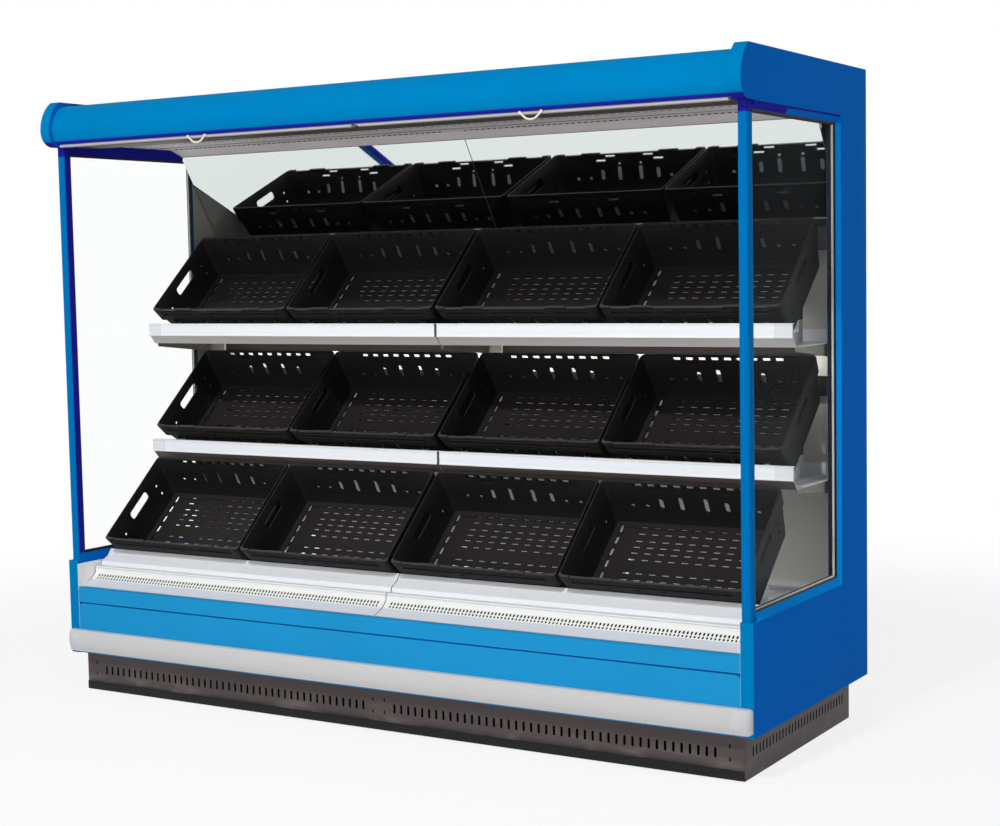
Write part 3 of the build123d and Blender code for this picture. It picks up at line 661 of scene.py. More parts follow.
@dataclass(frozen=True)
class ClearPane(Finish):
    """Float glass: clear from in front, brighter at a slant, with a faint film of dust."""

    tint: Colour = PURE_WHITE
    glare: Colour = (0.8, 0.9, 1.0, 1.0)
    polish: float = 0.01
    head_on: float = 0.0015
    slanted: float = 0.012
    steepness: float = 5.0
    film: Colour = paint(205, 210, 206)
    film_share: float = 0.002
    smears: Mottle = Mottle(7.0, 6.0, (1.0, 2.0, 0.7), (0.52, 0.85))

    def apply(self, shader: Shader) -> None:
        """Builds the finish's nodes.

        Args:
            shader: The material that takes them.
        """
        slant = shader.node("ShaderNodeLayerWeight", None, {"Blend": 0.5}, output="Facing")
        clear = shader.node("ShaderNodeBsdfTransparent", None, {"Color": self.tint})
        inputs = {"Color": self.glare, "Roughness": self.polish}
        gloss = shader.node("ShaderNodeBsdfAnisotropic", None, inputs)
        dust = shader.node("ShaderNodeBsdfDiffuse", None, {"Color": self.film})
        bright = slant.math("POWER", self.steepness) * self.slanted + self.head_on
        glazed = shader.blend(bright, clear, gloss)
        shader.surface(shader.blend(shader.noise(self.smears) * self.film_share, glazed, dust))


@dataclass(frozen=True)
class Silvered(Finish):
    """A mirror: silver on its face, painted behind and along its edges."""

    face: Colour = paint(228, 234, 232)
    back: Colour = paint(112, 116, 118)
    looks: Spot = (0.0, -math.cos(MIRROR_LEAN), -math.sin(MIRROR_LEAN))
    face_turn: float = 0.9
    back_rough: float = 0.45
    face_rough: float = 0.02
    smears: Mottle = Mottle(11.0, 6.0, band=(0.5, 0.9))
    smear_rough: float = 0.02

    def apply(self, shader: Shader) -> None:
        """Builds the finish's nodes.

        Args:
            shader: The material that takes them.
        """
        front = shader.facing(self.looks) > self.face_turn
        rough = self.back_rough - front * (self.back_rough - self.face_rough)
        shader.set(
            Base_Color=shader.mix(front, self.back, self.face),
            Metallic=front,
            Roughness=rough + shader.noise(self.smears) * self.smear_rough,
        )


@dataclass(frozen=True)
class Galvanised(Finish):
    """Zinc-coated steel with its spangle."""

    colour: Colour = paint(176, 180, 184)
    dull: Colour = paint(140, 142, 143)
    dull_share: float = 0.4
    spangle: float = 90.0
    spangle_range: Point = (0.78, 1.05)
    spangle_rough: float = 0.16
    clouds: Mottle = Mottle(5.0, 5.0, band=(0.35, 0.7))
    cloud_rough: float = 0.18
    metal: float = 0.85
    roughness: float = 0.28

    def apply(self, shader: Shader) -> None:
        """Builds the finish's nodes.

        Args:
            shader: The material that takes them.
        """
        inputs = {"Vector": shader.coordinates, "Scale": self.spangle}
        cells = shader.node("ShaderNodeTexVoronoi", None, inputs, output="Color")
        flake = shader.node("ShaderNodeSeparateColor", None, {0: cells})
        cloud = shader.noise(self.clouds)
        tone = shader.mix(flake, *(scaled(self.colour, share) for share in self.spangle_range))
        shader.set(
            Base_Color=shader.mix(cloud * self.dull_share, tone, self.dull),
            Metallic=self.metal,
            Roughness=flake * self.spangle_rough + cloud * self.cloud_rough + self.roughness,
        )


@dataclass(frozen=True)
class DrawnMetal(Finish):
    """Bare drawn or extruded metal, streaked along its length."""

    colour: Colour = PURE_WHITE
    roughness: float = 0.2
    stain: Colour = PURE_WHITE
    stains: Mottle = Mottle(16.0, 5.0, band=(0.5, 0.8))
    stain_share: float = 0.5
    stain_metal: float = 0.25
    stain_rough: float = 0.15
    streaks: Mottle = Mottle(420.0, 3.0, (0.02, 1.0, 1.0))
    streak_rough: float = 0.2
    streak_depth: float = 0.00003

    def apply(self, shader: Shader) -> None:
        """Builds the finish's nodes.

        Args:
            shader: The material that takes them.
        """
        streaks, stains = shader.noise(self.streaks), shader.noise(self.stains)
        shader.set(
            Base_Color=shader.mix(stains * self.stain_share, self.colour, self.stain),
            Metallic=1.0 - stains * self.stain_metal,
            Roughness=streaks * self.streak_rough + stains * self.stain_rough + self.roughness,
        )
        shader.bump(streaks, self.streak_depth)


@dataclass(frozen=True)
class FinStack(Finish):
    """Packed aluminium fins, drawn as fine lines across a coil."""

    colour: Colour = PURE_WHITE
    pitch: float = 0.006
    depth: float = 0.0006
    gap_shade: float = 0.35
    metal: float = 0.9
    roughness: float = 0.3
    frost: Mottle = Mottle(12.0, 4.0, band=(0.4, 0.8))
    frost_metal: float = 0.2
    frost_rough: float = 0.25

    def apply(self, shader: Shader) -> None:
        """Builds the finish's nodes.

        Args:
            shader: The material that takes them.
        """
        across = shader.axes()[0] * (1 / self.pitch)
        lines = abs(across.math("FRACT") - 0.5) * 2.0
        frost = shader.noise(self.frost)
        shader.set(
            Base_Color=shader.mix(lines, scaled(self.colour, self.gap_shade), self.colour),
            Metallic=self.metal - frost * self.frost_metal,
            Roughness=frost * self.frost_rough + self.roughness,
        )
        shader.bump(lines, self.depth)


@dataclass(frozen=True)
class Woven(Finish):
    """Coated blind cloth: a plain weave with a soft silver face."""

    colour: Colour = paint(196, 199, 202)
    shades: Point = (0.78, 1.06)
    thread: float = 0.0012
    depth: float = 0.0002
    weave_share: float = 0.5
    slubs: Mottle = Mottle(40.0, 4.0, (0.2, 1.0, 1.0))
    slub_share: float = 0.4
    roughness: float = 0.75
    weave_rough: float = 0.15
    sheen: float = 0.2

    def apply(self, shader: Shader) -> None:
        """Builds the finish's nodes.

        Args:
            shader: The material that takes them.
        """
        x, y, z = shader.axes()
        warp, weft = ((run * (math.tau / self.thread)).math("SINE") for run in (x, y + z))
        weave = (warp * weft).between(-1.0, 1.0)
        light = weave * self.weave_share + shader.noise(self.slubs) * self.slub_share
        shader.set(
            Base_Color=shader.mix(light, *(scaled(self.colour, share) for share in self.shades)),
            Roughness=self.roughness - weave * self.weave_rough,
            Sheen_Weight=self.sheen,
        )
        shader.bump(weave, self.depth)


@dataclass(frozen=True)
class Frosted(Finish):
    """Translucent moulded plastic."""

    colour: Colour = PURE_WHITE
    clear: float = 0.6
    roughness: float = 0.22
    refraction: float = 1.46
    clouds: Mottle = Mottle(35.0, 4.0)
    cloud_shade: float = 0.93
    cloud_rough: float = 0.12
    pores: Mottle = Mottle(900.0)
    grain: float = 0.00003

    def apply(self, shader: Shader) -> None:
        """Builds the finish's nodes.

        Args:
            shader: The material that takes them.
        """
        cloud = shader.noise(self.clouds)
        shader.set(
            Base_Color=shader.mix(cloud, scaled(self.colour, self.cloud_shade), self.colour),
            Roughness=(cloud - 0.5) * self.cloud_rough + self.roughness,
            Transmission_Weight=self.clear,
            IOR=self.refraction,
        )
        shader.bump(shader.noise(self.pores), self.grain)


FRONT_BLUE = paint(0, 123, 183)
# Navy painted as shade on the blue coats' undersides, inward faces and window heads
PAINTED_SHADE_BLUE = paint(34, 34, 150)
BLUE = ShadedCoat("blue_coat", "blue_sheet", FRONT_BLUE, gloss=0.01, drift=0.03, painted_shade=PAINTED_SHADE_BLUE)
# painted light: the front sheets take a lighter copy of the front blue, for the extra light that reaches
# them low down
BLUE_PANEL = replace(BLUE, name="blue_coat_panel", colour=paint(32, 144, 201))
# painted shade: the posts take a darker copy of the front blue, with navy shade painted on their tops under
# the ends' noses
BLUE_POST = replace(BLUE, name="blue_coat_post", colour=paint(0, 110, 178), painted_shadow_z=1.856)
BLUE_LINED = LinedCoat(
    "blue_coat_lined", "blue_sheet", FRONT_BLUE, gloss=0.004, drift=0.03, painted_shade=PAINTED_SHADE_BLUE,
    turned_under=(0.66, 0.74), flank=paint(0, 104, 200), pale=paint(246, 246, 244),
    grey=paint(126, 125, 121), splay_light=paint(8, 138, 226),
)
# painted shade: dark blue of the strips that fill the front sheets' joints and stand in for the shadow in
# those gaps
JOINT_SHADE_BLUE = PowderCoat("joint_shade_coat", "blue_sheet", paint(0, 78, 150), gloss=0.03)

SHEET_WHITE = paint(232, 234, 238)
WHITE = PowderCoat("white_coat", "white_sheet", SHEET_WHITE, drift=0.02)
LINER_WHITE = replace(WHITE, name="liner_coat", colour=paint(208, 206, 199), drift=0.03)
BRACKET_GREY = replace(LINER_WHITE, name="bracket_coat", colour=paint(140, 137, 130))
# The aprons' greys are painted shade, the lower shelf's darker since more shade falls on it
SHELF_UPPER = ShelfCoat(
    "shelf_upper_coat", "white_sheet", SHEET_WHITE, drift=0.02, apron=paint(198, 194, 191), rib_z=1.2715
)
SHELF_LOWER = replace(SHELF_UPPER, name="shelf_lower_coat", apron=paint(98, 88, 84), rib_z=0.8515)
GRILLE_WHITE = GrilleCoat(
    "grille_coat", "white_sheet", paint(234, 235, 231), drift=0.02, lip=paint(214, 220, 230)
)
# painted shade: the soffit's dark front strip behind the blind bar stands in for the shadow there
SOFFIT_GREY = SplitCoat(
    "soffit_coat", "white_sheet", paint(232, 223, 222), drift=0.03, front=paint(84, 74, 70), split_y=-0.2505
)
# Dark grey of the rail joints, and partly painted shade on the soffit, where it makes the seam strip and
# plugs read as the shaded step and slots
SEAM_GREY = PowderCoat("seam_coat", "white_sheet", paint(72, 72, 76))
BACK_GREY = PowderCoat("back_coat", "white_sheet", paint(206, 208, 208), drift=0.04, dust_top=0.5)
PLINTH_GREY = FootCoat("plinth_coat", "grey_sheet", paint(78, 70, 70), drift=0.08, dust_top=0.12)
# Black of the outlets' honeycomb cores, and of the sheets painted as shade behind the plinth's and grilles'
# slots
HONEYCOMB_AND_SHADE_BLACK = PowderCoat(
    "honeycomb_and_shade_coat", "grey_sheet", paint(10, 9, 9), roughness=0.7, gloss=0.02, drift=0.1
)
BAR_GREY = PowderCoat("blind_bar_coat", "aluminium", paint(176, 177, 175), drift=0.02)

# painted shade: black of the strip along the plinth's foot that stands in for the dark at its base
KICK_SHADE_BLACK = Moulded(
    "kick_shade_plastic", "grey_sheet", paint(13, 12, 12), paint(34, 32, 31), roughness=0.6, rubbed=0.2
)
# painted shade: dark and grey strips on the inner back stand in for the shadow under the shelves and behind
# the crates
WALL_SHADE_DARK = Moulded(
    "shelf_seal", "seal_grey", paint(40, 35, 33), paint(58, 52, 49), roughness=0.6, rubbed=0.2
)
WALL_SHADE_GREY = Moulded(
    "wall_shade_grey", "seal_grey", paint(124, 120, 117), paint(106, 102, 99), roughness=0.8, gloss=0.05
)
SEAL_DARK = Moulded(
    "glazing_seal", "seal_grey", paint(30, 33, 40), paint(52, 54, 58), roughness=0.6, rubbed=0.4
)
SPACER_PALE = Moulded(
    "glazing_spacer", "seal_grey", paint(206, 208, 206), paint(188, 189, 186), roughness=0.5, rubbed=0.3
)
BUMPER_GREY = Moulded("bumper_vinyl", "bumper_grey", paint(198, 197, 197), paint(180, 178, 177), rubbed=0.3)
RAIL_WHITE = Moulded(
    "rail_vinyl", "rail_white", paint(236, 239, 243), paint(214, 216, 219), roughness=0.32, rubbed=0.25
)
FAN_BLACK = Moulded("fan_plastic", "fan_black", paint(32, 32, 33), paint(70, 69, 67), roughness=0.5)
PULL_CREAM = Moulded(
    "pull_plastic", "aluminium", paint(228, 226, 204), paint(206, 202, 176), roughness=0.35
)
# The floor and lip colours are painted light, paler where light falls
CRATE_BLACK = TippedTray(
    "crate_plastic", "crate_black", paint(27, 26, 26), paint(52, 48, 47), roughness=0.55, gloss=0.10,
    floor=paint(41, 38, 38), lip=paint(66, 62, 62),
)
CAP_CLEAR = Frosted("bumper_cap", "clear_grey", paint(232, 232, 235), clear=0.3, roughness=0.14)
RAIL_CLEAR = Frosted("rail_end", "rail_white", paint(240, 241, 246), clear=0.12, roughness=0.2)
LENS = Frosted("lamp_opal", "lamp_lens", paint(232, 233, 228), clear=0.2, roughness=0.3)

MIRROR = Silvered("mirror_silver", "mirror_face")
GLASS = ClearPane("end_glass", "clear_glass", tint=(0.994, 0.997, 0.996, 1.0))
STEEL = Galvanised("galvanised", "steel")
ALUMINIUM = DrawnMetal("drawn_aluminium", "aluminium", paint(206, 207, 208), stain=paint(176, 176, 174))
COPPER = DrawnMetal(
    "copper", "copper_pipe", paint(190, 112, 78), roughness=0.24, stain=paint(112, 78, 58),
    streaks=Mottle(420.0, 3.0, (1.0, 1.0, 0.05)),
)
FINS = FinStack("coil_fins", "aluminium", paint(205, 208, 210))
CLOTH = Woven("blind_weave", "blind_cloth")


def rounded(points: Sequence[Point], radius: float, steps: int = 4, closed: bool = True) -> list[Point]:
    """Rounds the corners of a run of points.

    Args:
        points: The corners, in order.
        radius: How far from a corner its curve starts, at most.
        steps: Straight steps in each curve.
        closed: Whether the run comes back to its start.

    Returns:
        The run with a short curve at each corner.
    """
    spots = [Vector(p) for p in points]
    out: list[Vector] = []
    for i, spot in enumerate(spots):
        if not closed and i in (0, len(spots) - 1):
            out.append(spot)
            continue
        sides = [end - spot for end in (spots[i - 1], spots[(i + 1) % len(spots)])]
        first, last = (spot + s.normalized() * min(radius, s.length * CORNER_SHARE) for s in sides)
        for t in spread(0.0, 1.0, steps + 1):
            out.append(first * (1 - t) ** 2 + spot * (2 * t * (1 - t)) + last * t ** 2)
    return [tuple(p) for p in out]


def oblong(low: Point, high: Point, radius: float = 0.0, steps: int = 4) -> list[Point]:
    """A rectangle between two corners, rounded where it is given a radius.

    Args:
        low: The corner with the lower values.
        high: The opposite corner.
        radius: How far from a corner its curve starts.
        steps: Straight steps in each curve.

    Returns:
        The outline.
    """
    corners = [low, (high[0], low[1]), high, (low[0], high[1])]
    return rounded(corners, radius, steps) if radius else corners


def slot(width: float, height: float, radius: float | None = None, steps: int = 3) -> list[Point]:
    """A rounded rectangle about the origin, with round ends where it is given no radius.

    Args:
        width: Its first size.
        height: Its second size.
        radius: How far from a corner its curve starts.
        steps: Straight steps in each curve.

    Returns:
        The outline.
    """
    w, h = width / 2, height / 2
    return oblong((-w, -h), (w, h), min(w, h) if radius is None else radius, steps)


def spread(low: float, high: float, count: int) -> Iterator[float]:
    """Evenly spaced places from low to high."""
    return (low + (high - low) * i / (count - 1) for i in range(count))


def centred(count: int, pitch: float) -> list[float]:
    """Places at a pitch, about 0."""
    return [(i - (count - 1) / 2) * pitch for i in range(count)]


def circle(sides: int) -> list[Point]:
    """Points round a circle with a radius of 1."""
    return [(math.cos(math.tau * k / sides), math.sin(math.tau * k / sides)) for k in range(sides)]


def tangent_arc(nose: Point, end: Point, steps: int = 20) -> list[Point]:
    """Points on the arc that leaves a nose upright and reaches an end.

    Args:
        nose: Where the arc starts, at its foremost point.
        end: Where it ends.
        steps: Straight steps along it.

    Returns:
        The arc's points, with both ends.
    """
    dy, dz = end[0] - nose[0], end[1] - nose[1]
    radius = (dy * dy + dz * dz) / (2 * dy)
    sweep = math.atan2(dz, dy - radius)
    start = math.copysign(math.pi, sweep)
    angles = spread(start, sweep, steps + 1)
    return [(nose[0] + radius * (1 + math.cos(a)), nose[1] + radius * math.sin(a)) for a in angles]


def linked(name: str, data: bpy.types.ID) -> bpy.types.Object:
    """A new object in the scene.

    Args:
        name: Its name.
        data: Its mesh, light or camera.

    Returns:
        The object.
    """
    made = bpy.data.objects.new(name, data)
    bpy.context.scene.collection.objects.link(made)
    return made


def smoothed(data: bpy.types.Mesh, crease: float) -> None:
    """Shades a mesh smooth, but for its sharp edges."""
    data.shade_smooth()
    data.set_sharp_from_angle(angle=math.radians(crease))


class Form:
    """A mesh in the making, gathered from prisms, lofts and tubes."""

    def __init__(self) -> None:
        """Starts empty."""
        self.mesh = bmesh.new()

    def loft(self, rings: Sequence[Sequence[Vector]], closed: bool = True) -> "Form":
        """Joins rings with as many points each into a skin.

        Args:
            rings: The rings, in order.
            closed: Whether they close round and at both ends; if not, they are rows of an open sheet.

        Returns:
            The form itself.
        """
        rows = [[self.mesh.verts.new(point) for point in ring] for ring in rings]
        count = len(rows[0])
        for a, b in zip(rows, rows[1:]):
            for i in range(count if closed else count - 1):
                j = (i + 1) % count
                self.mesh.faces.new((a[i], a[j], b[j], b[i]))
        if closed:
            self.mesh.faces.new(rows[0])
            self.mesh.faces.new(rows[-1])
        return self

    def prism(self, outline: Sequence[Point], low: float, high: float, place: Matrix = ALONG_Z) -> "Form":
        """Carries an outline from one depth to another.

        Args:
            outline: A closed outline.
            low: Depth of its first end.
            high: Depth of its other end.
            place: Where the outline's two axes and its depth go.

        Returns:
            The form itself.
        """
        return self.loft([[place @ Vector((a, b, depth)) for a, b in outline] for depth in (low, high)])

    def tube(self, path: Sequence[Vector], radius: float, sides: int = 12) -> "Form":
        """A round bar along a path in an upright plane along X.

        Args:
            path: Points along the bar's middle.
            radius: The bar's radius.
            sides: Flat sides round it.

        Returns:
            The form itself.
        """
        out = Vector((0, 1, 0))
        rings = []
        for i, spot in enumerate(path):
            along = (path[min(i + 1, len(path) - 1)] - path[max(i - 1, 0)]).normalized()
            across = along.cross(out)
            rings.append([spot + (out * c + across * s) * radius for c, s in circle(sides)])
        return self.loft(rings)

    def piece(self, name: str, crease: float = SHEET_CREASE) -> bpy.types.Object:
        """Turns the form into an object.

        Args:
            name: The object's name.
            crease: Edges that turn by more degrees than this stay sharp.

        Returns:
            The object, linked to the scene.
        """
        bmesh.ops.recalc_face_normals(self.mesh, faces=self.mesh.faces)
        data = bpy.data.meshes.new(name)
        self.mesh.to_mesh(data)
        self.mesh.free()
        smoothed(data, crease)
        return linked(name, data)


def punch(piece: bpy.types.Object, holes: Form, crease: float = SHEET_CREASE) -> None:
    """Takes all of a form's prisms out of a piece in one cut.

    Args:
        piece: The piece.
        holes: The form, which is used up.
        crease: Edges that turn by more degrees than this stay sharp.
    """
    tool = holes.piece("hole_cutter")
    cut = piece.modifiers.new("holes", "BOOLEAN")
    cut.object, cut.operation, cut.solver = tool, "DIFFERENCE", "EXACT"
    graph = bpy.context.evaluated_depsgraph_get()
    data = bpy.data.meshes.new_from_object(piece.evaluated_get(graph))
    piece.modifiers.clear()
    piece.data = data
    smoothed(data, crease)
    bpy.data.objects.remove(tool)


def soften(piece: bpy.types.Object, width: float, steps: int = 2) -> None:
    """Rounds a piece's sharp edges and evens its shading.

    Args:
        piece: The piece.
        width: How far its edges are eased.
        steps: Flat steps across each edge.
    """
    piece.modifiers.new("weld", "WELD").merge_threshold = WELD
    edge = piece.modifiers.new("edge", "BEVEL")
    edge.width, edge.segments = width, steps
    edge.limit_method, edge.angle_limit = "ANGLE", math.radians(BEVEL_ANGLE)
    edge.harden_normals = False
    piece.modifiers.new("shading", "WEIGHTED_NORMAL").keep_sharp = False


def joined(name: str, *pieces: bpy.types.Object) -> bpy.types.Object:
    """One moulded piece out of several.

    Args:
        name: The new piece's name.
        pieces: The others, which are used up.

    Returns:
        The new piece.
    """
    form = Form()
    for piece in pieces:
        form.mesh.from_mesh(piece.data)
        bpy.data.objects.remove(piece)
    return form.piece(name, MOULDED_CREASE)


def dress(node: str, finish: Finish, edge: float = 0.0) -> None:
    """Gives a node of the frame its finish and eased edges.

    Args:
        node: The node's name.
        finish: What it is coated with.
        edge: How far its edges are eased, or 0 for none.
    """
    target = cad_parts[node]
    target.data.materials.clear()
    target.data.materials.append(finish.material())
    if edge:
        soften(target, edge)
    LOG.info("%s: frame node in %s", node, finish.name)


def settle(
    piece: bpy.types.Object, finish: Finish, *stands_for: str, body: str | None = CASE
) -> bpy.types.Object:
    """Finishes a new piece and sets it on the body that carries it.

    Args:
        piece: The new piece, in its place.
        finish: What it is made of.
        stands_for: Nodes of the frame that it is shown instead of.
        body: The body that it moves with, or None for none.

    Returns:
        The piece.
    """
    piece.data.materials.clear()
    piece.data.materials.append(finish.material())
    if stands_for:
        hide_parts(*stands_for)
    if body:
        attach(piece, body)
    LOG.info("%s: new piece in %s, %d faces", piece.name, finish.name, len(piece.data.polygons))
    return piece


@dataclass
class Ends:
    """The two insulated ends with their posts, panes and glazing."""

    seal: float = 0.003
    seal_round: float = 0.002
    lap: float = 0.002
    pane: float = 0.004
    spacer: float = 0.004
    rib: float = 0.006
    rib_depth: float = 0.0014
    rib_shape: tuple[Point, ...] = ((0.05, 0.0), (0.3, 1.0), (0.7, 1.0), (0.95, 0.0))
    pale_share: float = 0.42
    post_round: float = 0.010

    def build(self) -> None:
        """Dresses the ends and glazes them."""
        self.posts()
        for side in Side:
            dress(side.node("end"), BLUE_LINED)
            dress(side.node("glass"), GLASS)
            self.glazing(side)

    def posts(self) -> None:
        """The slim posts in front of the panes, with round front edges."""
        low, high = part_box("front_posts")
        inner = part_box("end_right")[0].x
        form = Form()
        for side in Side:
            x0, x1 = side.span(inner, high.x)
            path = [(x0, high.y), (x0, low.y), (x1, low.y), (x1, high.y)]
            form.prism(rounded(path, self.post_round, steps=6, closed=False), low.z, high.z)
        settle(form.piece("window_posts", MOULDED_CREASE), BLUE_POST, "front_posts")

    def glazing(self, side: Side) -> None:
        """The seal round a pair of panes and the ribbed spacer between them.

        Args:
            side: The end that they are in.
        """
        low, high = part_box(side.node("glass"))
        corners = oblong((low.y, low.z), (high.y, high.z))
        outer = oblong((low.y, low.z - self.seal), (high.y + self.seal, high.z + self.seal))
        lip = rounded([*outer, *reversed(corners)], self.seal_round, steps=2)
        dark = Form().prism(lip, low.x - self.lap, high.x + self.lap, ALONG_X)
        near, far = sorted((low.x + self.pane, high.x - self.pane), key=abs)
        middle = far + (near - far) * self.pale_share
        pale = Form()
        for start, end in zip(corners, corners[1:]):
            head = start[1] == end[1] == high.z
            self.ribbed(dark, Vector(start), Vector(end), (near, far if head else middle))
            if not head:
                self.ribbed(pale, Vector(start), Vector(end), (middle, far))
        settle(dark.piece(side.node("glazing")), SEAL_DARK, "glass_seals")
        settle(pale.piece(side.node("glazing_spacer")), SPACER_PALE, "glass_seals")

    def ribbed(self, form: Form, start: Vector, end: Vector, gap: Point) -> None:
        """A bar with fine cross ribs along one side of the window.

        Args:
            form: What the bar is added to.
            start: The bar's first outer corner, as (Y, Z).
            end: Its other outer corner.
            gap: X of the bar's two faces.
        """
        run = end - start
        along = run.normalized()
        inward = Vector((-along.y, along.x))
        count = int(run.length / self.rib)
        x0, x1 = gap
        rings = []
        for i in range(count):
            for share, height in self.rib_shape:
                base = start + along * (run.length * (i + share) / count)
                top = base + inward * (self.spacer - self.rib_depth * (1 - height))
                rings.append([Vector((x, *p)) for x, p in ((x0, base), (x1, base), (x1, top), (x0, top))])
        form.loft(rings)


@dataclass
class Canopy:
    """The round fascia, soffit, outlet grilles, lamp, roof and mirrors."""

    soffit_edge: float = 0.0006
    lamp_edge: float = 0.001
    roof_edge: float = 0.0015
    nose_z: float = 1.944
    crown_back: float = 0.050
    lip_back: float = 0.018
    sheet: float = 0.0025
    seam_y: float = 0.022
    seam: Point = (0.012, 0.0004)
    seam_taper: float = 0.9
    seam_inset: float = 0.001
    plug: Point = (0.017, 0.013)
    plug_y: float = -0.098
    plug_pitch: float = 0.027
    plug_seat: float = 0.001
    corner: float = 0.003
    proud: float = 0.0003
    plate: float = 0.002
    vent: Point = (0.0135, 0.026)
    vent_back: float = 0.008
    vent_pitch: float = 0.0225
    vent_lean: float = 0.5
    vent_cut: float = 0.01
    cells: int = 4
    cell_pitch: float = 0.0065
    cell_width: float = 0.0059
    cell_round: float = 0.001
    cell_depth: float = 0.016

    def build(self) -> None:
        """Dresses the canopy from its front to the mirrors."""
        self.fascia()
        dress("canopy_soffit", SOFFIT_GREY, self.soffit_edge)
        self.soffit_lines()
        dress("canopy_lamp", LENS, self.lamp_edge)
        dress("roof_panel", BACK_GREY, self.roof_edge)
        for side in Side:
            dress(side.node("mirror"), MIRROR)
            self.outlet(side)

    def skin(self, inset: float) -> list[Point]:
        """The fascia's outline from its tail over the nose to the lip.

        Args:
            inset: How far it is moved in.

        Returns:
            The outline as (Y, Z).
        """
        low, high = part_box("canopy_fascia")
        nose = (low.y + inset, self.nose_z)
        crown = (low.y + self.crown_back, high.z - inset)
        lip = (low.y + self.lip_back + inset, low.z)
        return [(high.y, crown[1]), *reversed(tangent_arc(nose, crown)), *tangent_arc(nose, lip)[1:]]

    def fascia(self) -> None:
        """The blue sheet across the front."""
        low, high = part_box("canopy_fascia")
        outline = [*self.skin(0.0), *reversed(self.skin(self.sheet))]
        form = Form().prism(outline, low.x, high.x, ALONG_X)
        settle(form.piece("fascia"), BLUE, "canopy_fascia")

    def soffit_lines(self) -> None:
        """The cover strip over the soffit's seam and the row of small plugs in front of it."""
        low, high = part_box("canopy_soffit")
        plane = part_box("air_honeycomb")[0].z
        half, drop = self.seam[0] / 2, self.seam[1]
        narrow = half * self.seam_taper
        corners = [(-half, 0.0), (half, 0.0), (narrow, -drop), (-narrow, -drop)]
        outline = [(self.seam_y + y, plane + z) for y, z in corners]
        strip = Form().prism(outline, low.x + self.seam_inset, high.x - self.seam_inset, ALONG_X)
        # The strip and plugs are dark grey partly as painted shade of the step and slots
        settle(strip.piece("soffit_seam"), SEAM_GREY)
        plugs = Form()
        count = int((high.x - low.x) / self.plug_pitch) - 1
        for x in spread(low.x + self.plug_pitch, high.x - self.plug_pitch, count):
            place = Matrix.Translation((x, self.plug_y, plane))
            plugs.prism(slot(*self.plug, self.corner), -self.proud, self.plug_seat, place)
        settle(plugs.piece("soffit_plugs"), SEAM_GREY)

    def outlet(self, side: Side) -> None:
        """The slotted plate of a bay's cold-air outlet, with the vanes above it.

        Args:
            side: The bay.
        """
        low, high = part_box("air_honeycomb")
        inner = min(abs(v.co.x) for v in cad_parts["air_honeycomb"].data.vertices)
        x0, x1 = side.span(inner, high.x)
        plate = Form().prism(oblong((x0, low.y), (x1, high.y)), low.z, low.z + self.plate)
        piece = plate.piece(side.node("outlet_grille"))
        middle = Vector(((x0 + x1) / 2, (low.y + high.y) / 2 + self.vent_back, low.z))
        slant = Matrix.Identity(4)
        slant[0][1] = -self.vent_lean
        holes, cores = Form(), Form()
        for x in centred(int((x1 - x0) / self.vent_pitch) - 1, self.vent_pitch):
            place = Matrix.Translation(middle + Vector((x, 0.0, 0.0))) @ slant
            holes.prism(slot(*self.vent, self.corner), -self.vent_cut, self.vent_cut, place)
            for y in centred(self.cells, self.cell_pitch):
                cell = place @ Matrix.Translation((0.0, y, 0.0))
                outline = slot(self.vent[0], self.cell_width, self.cell_round, steps=2)
                cores.prism(outline, -self.proud, self.cell_depth, cell)
        punch(piece, holes)
        settle(piece, SOFFIT_GREY, "air_honeycomb")
        settle(cores.piece(side.node("outlet_cores")), HONEYCOMB_AND_SHADE_BLACK, "air_honeycomb")


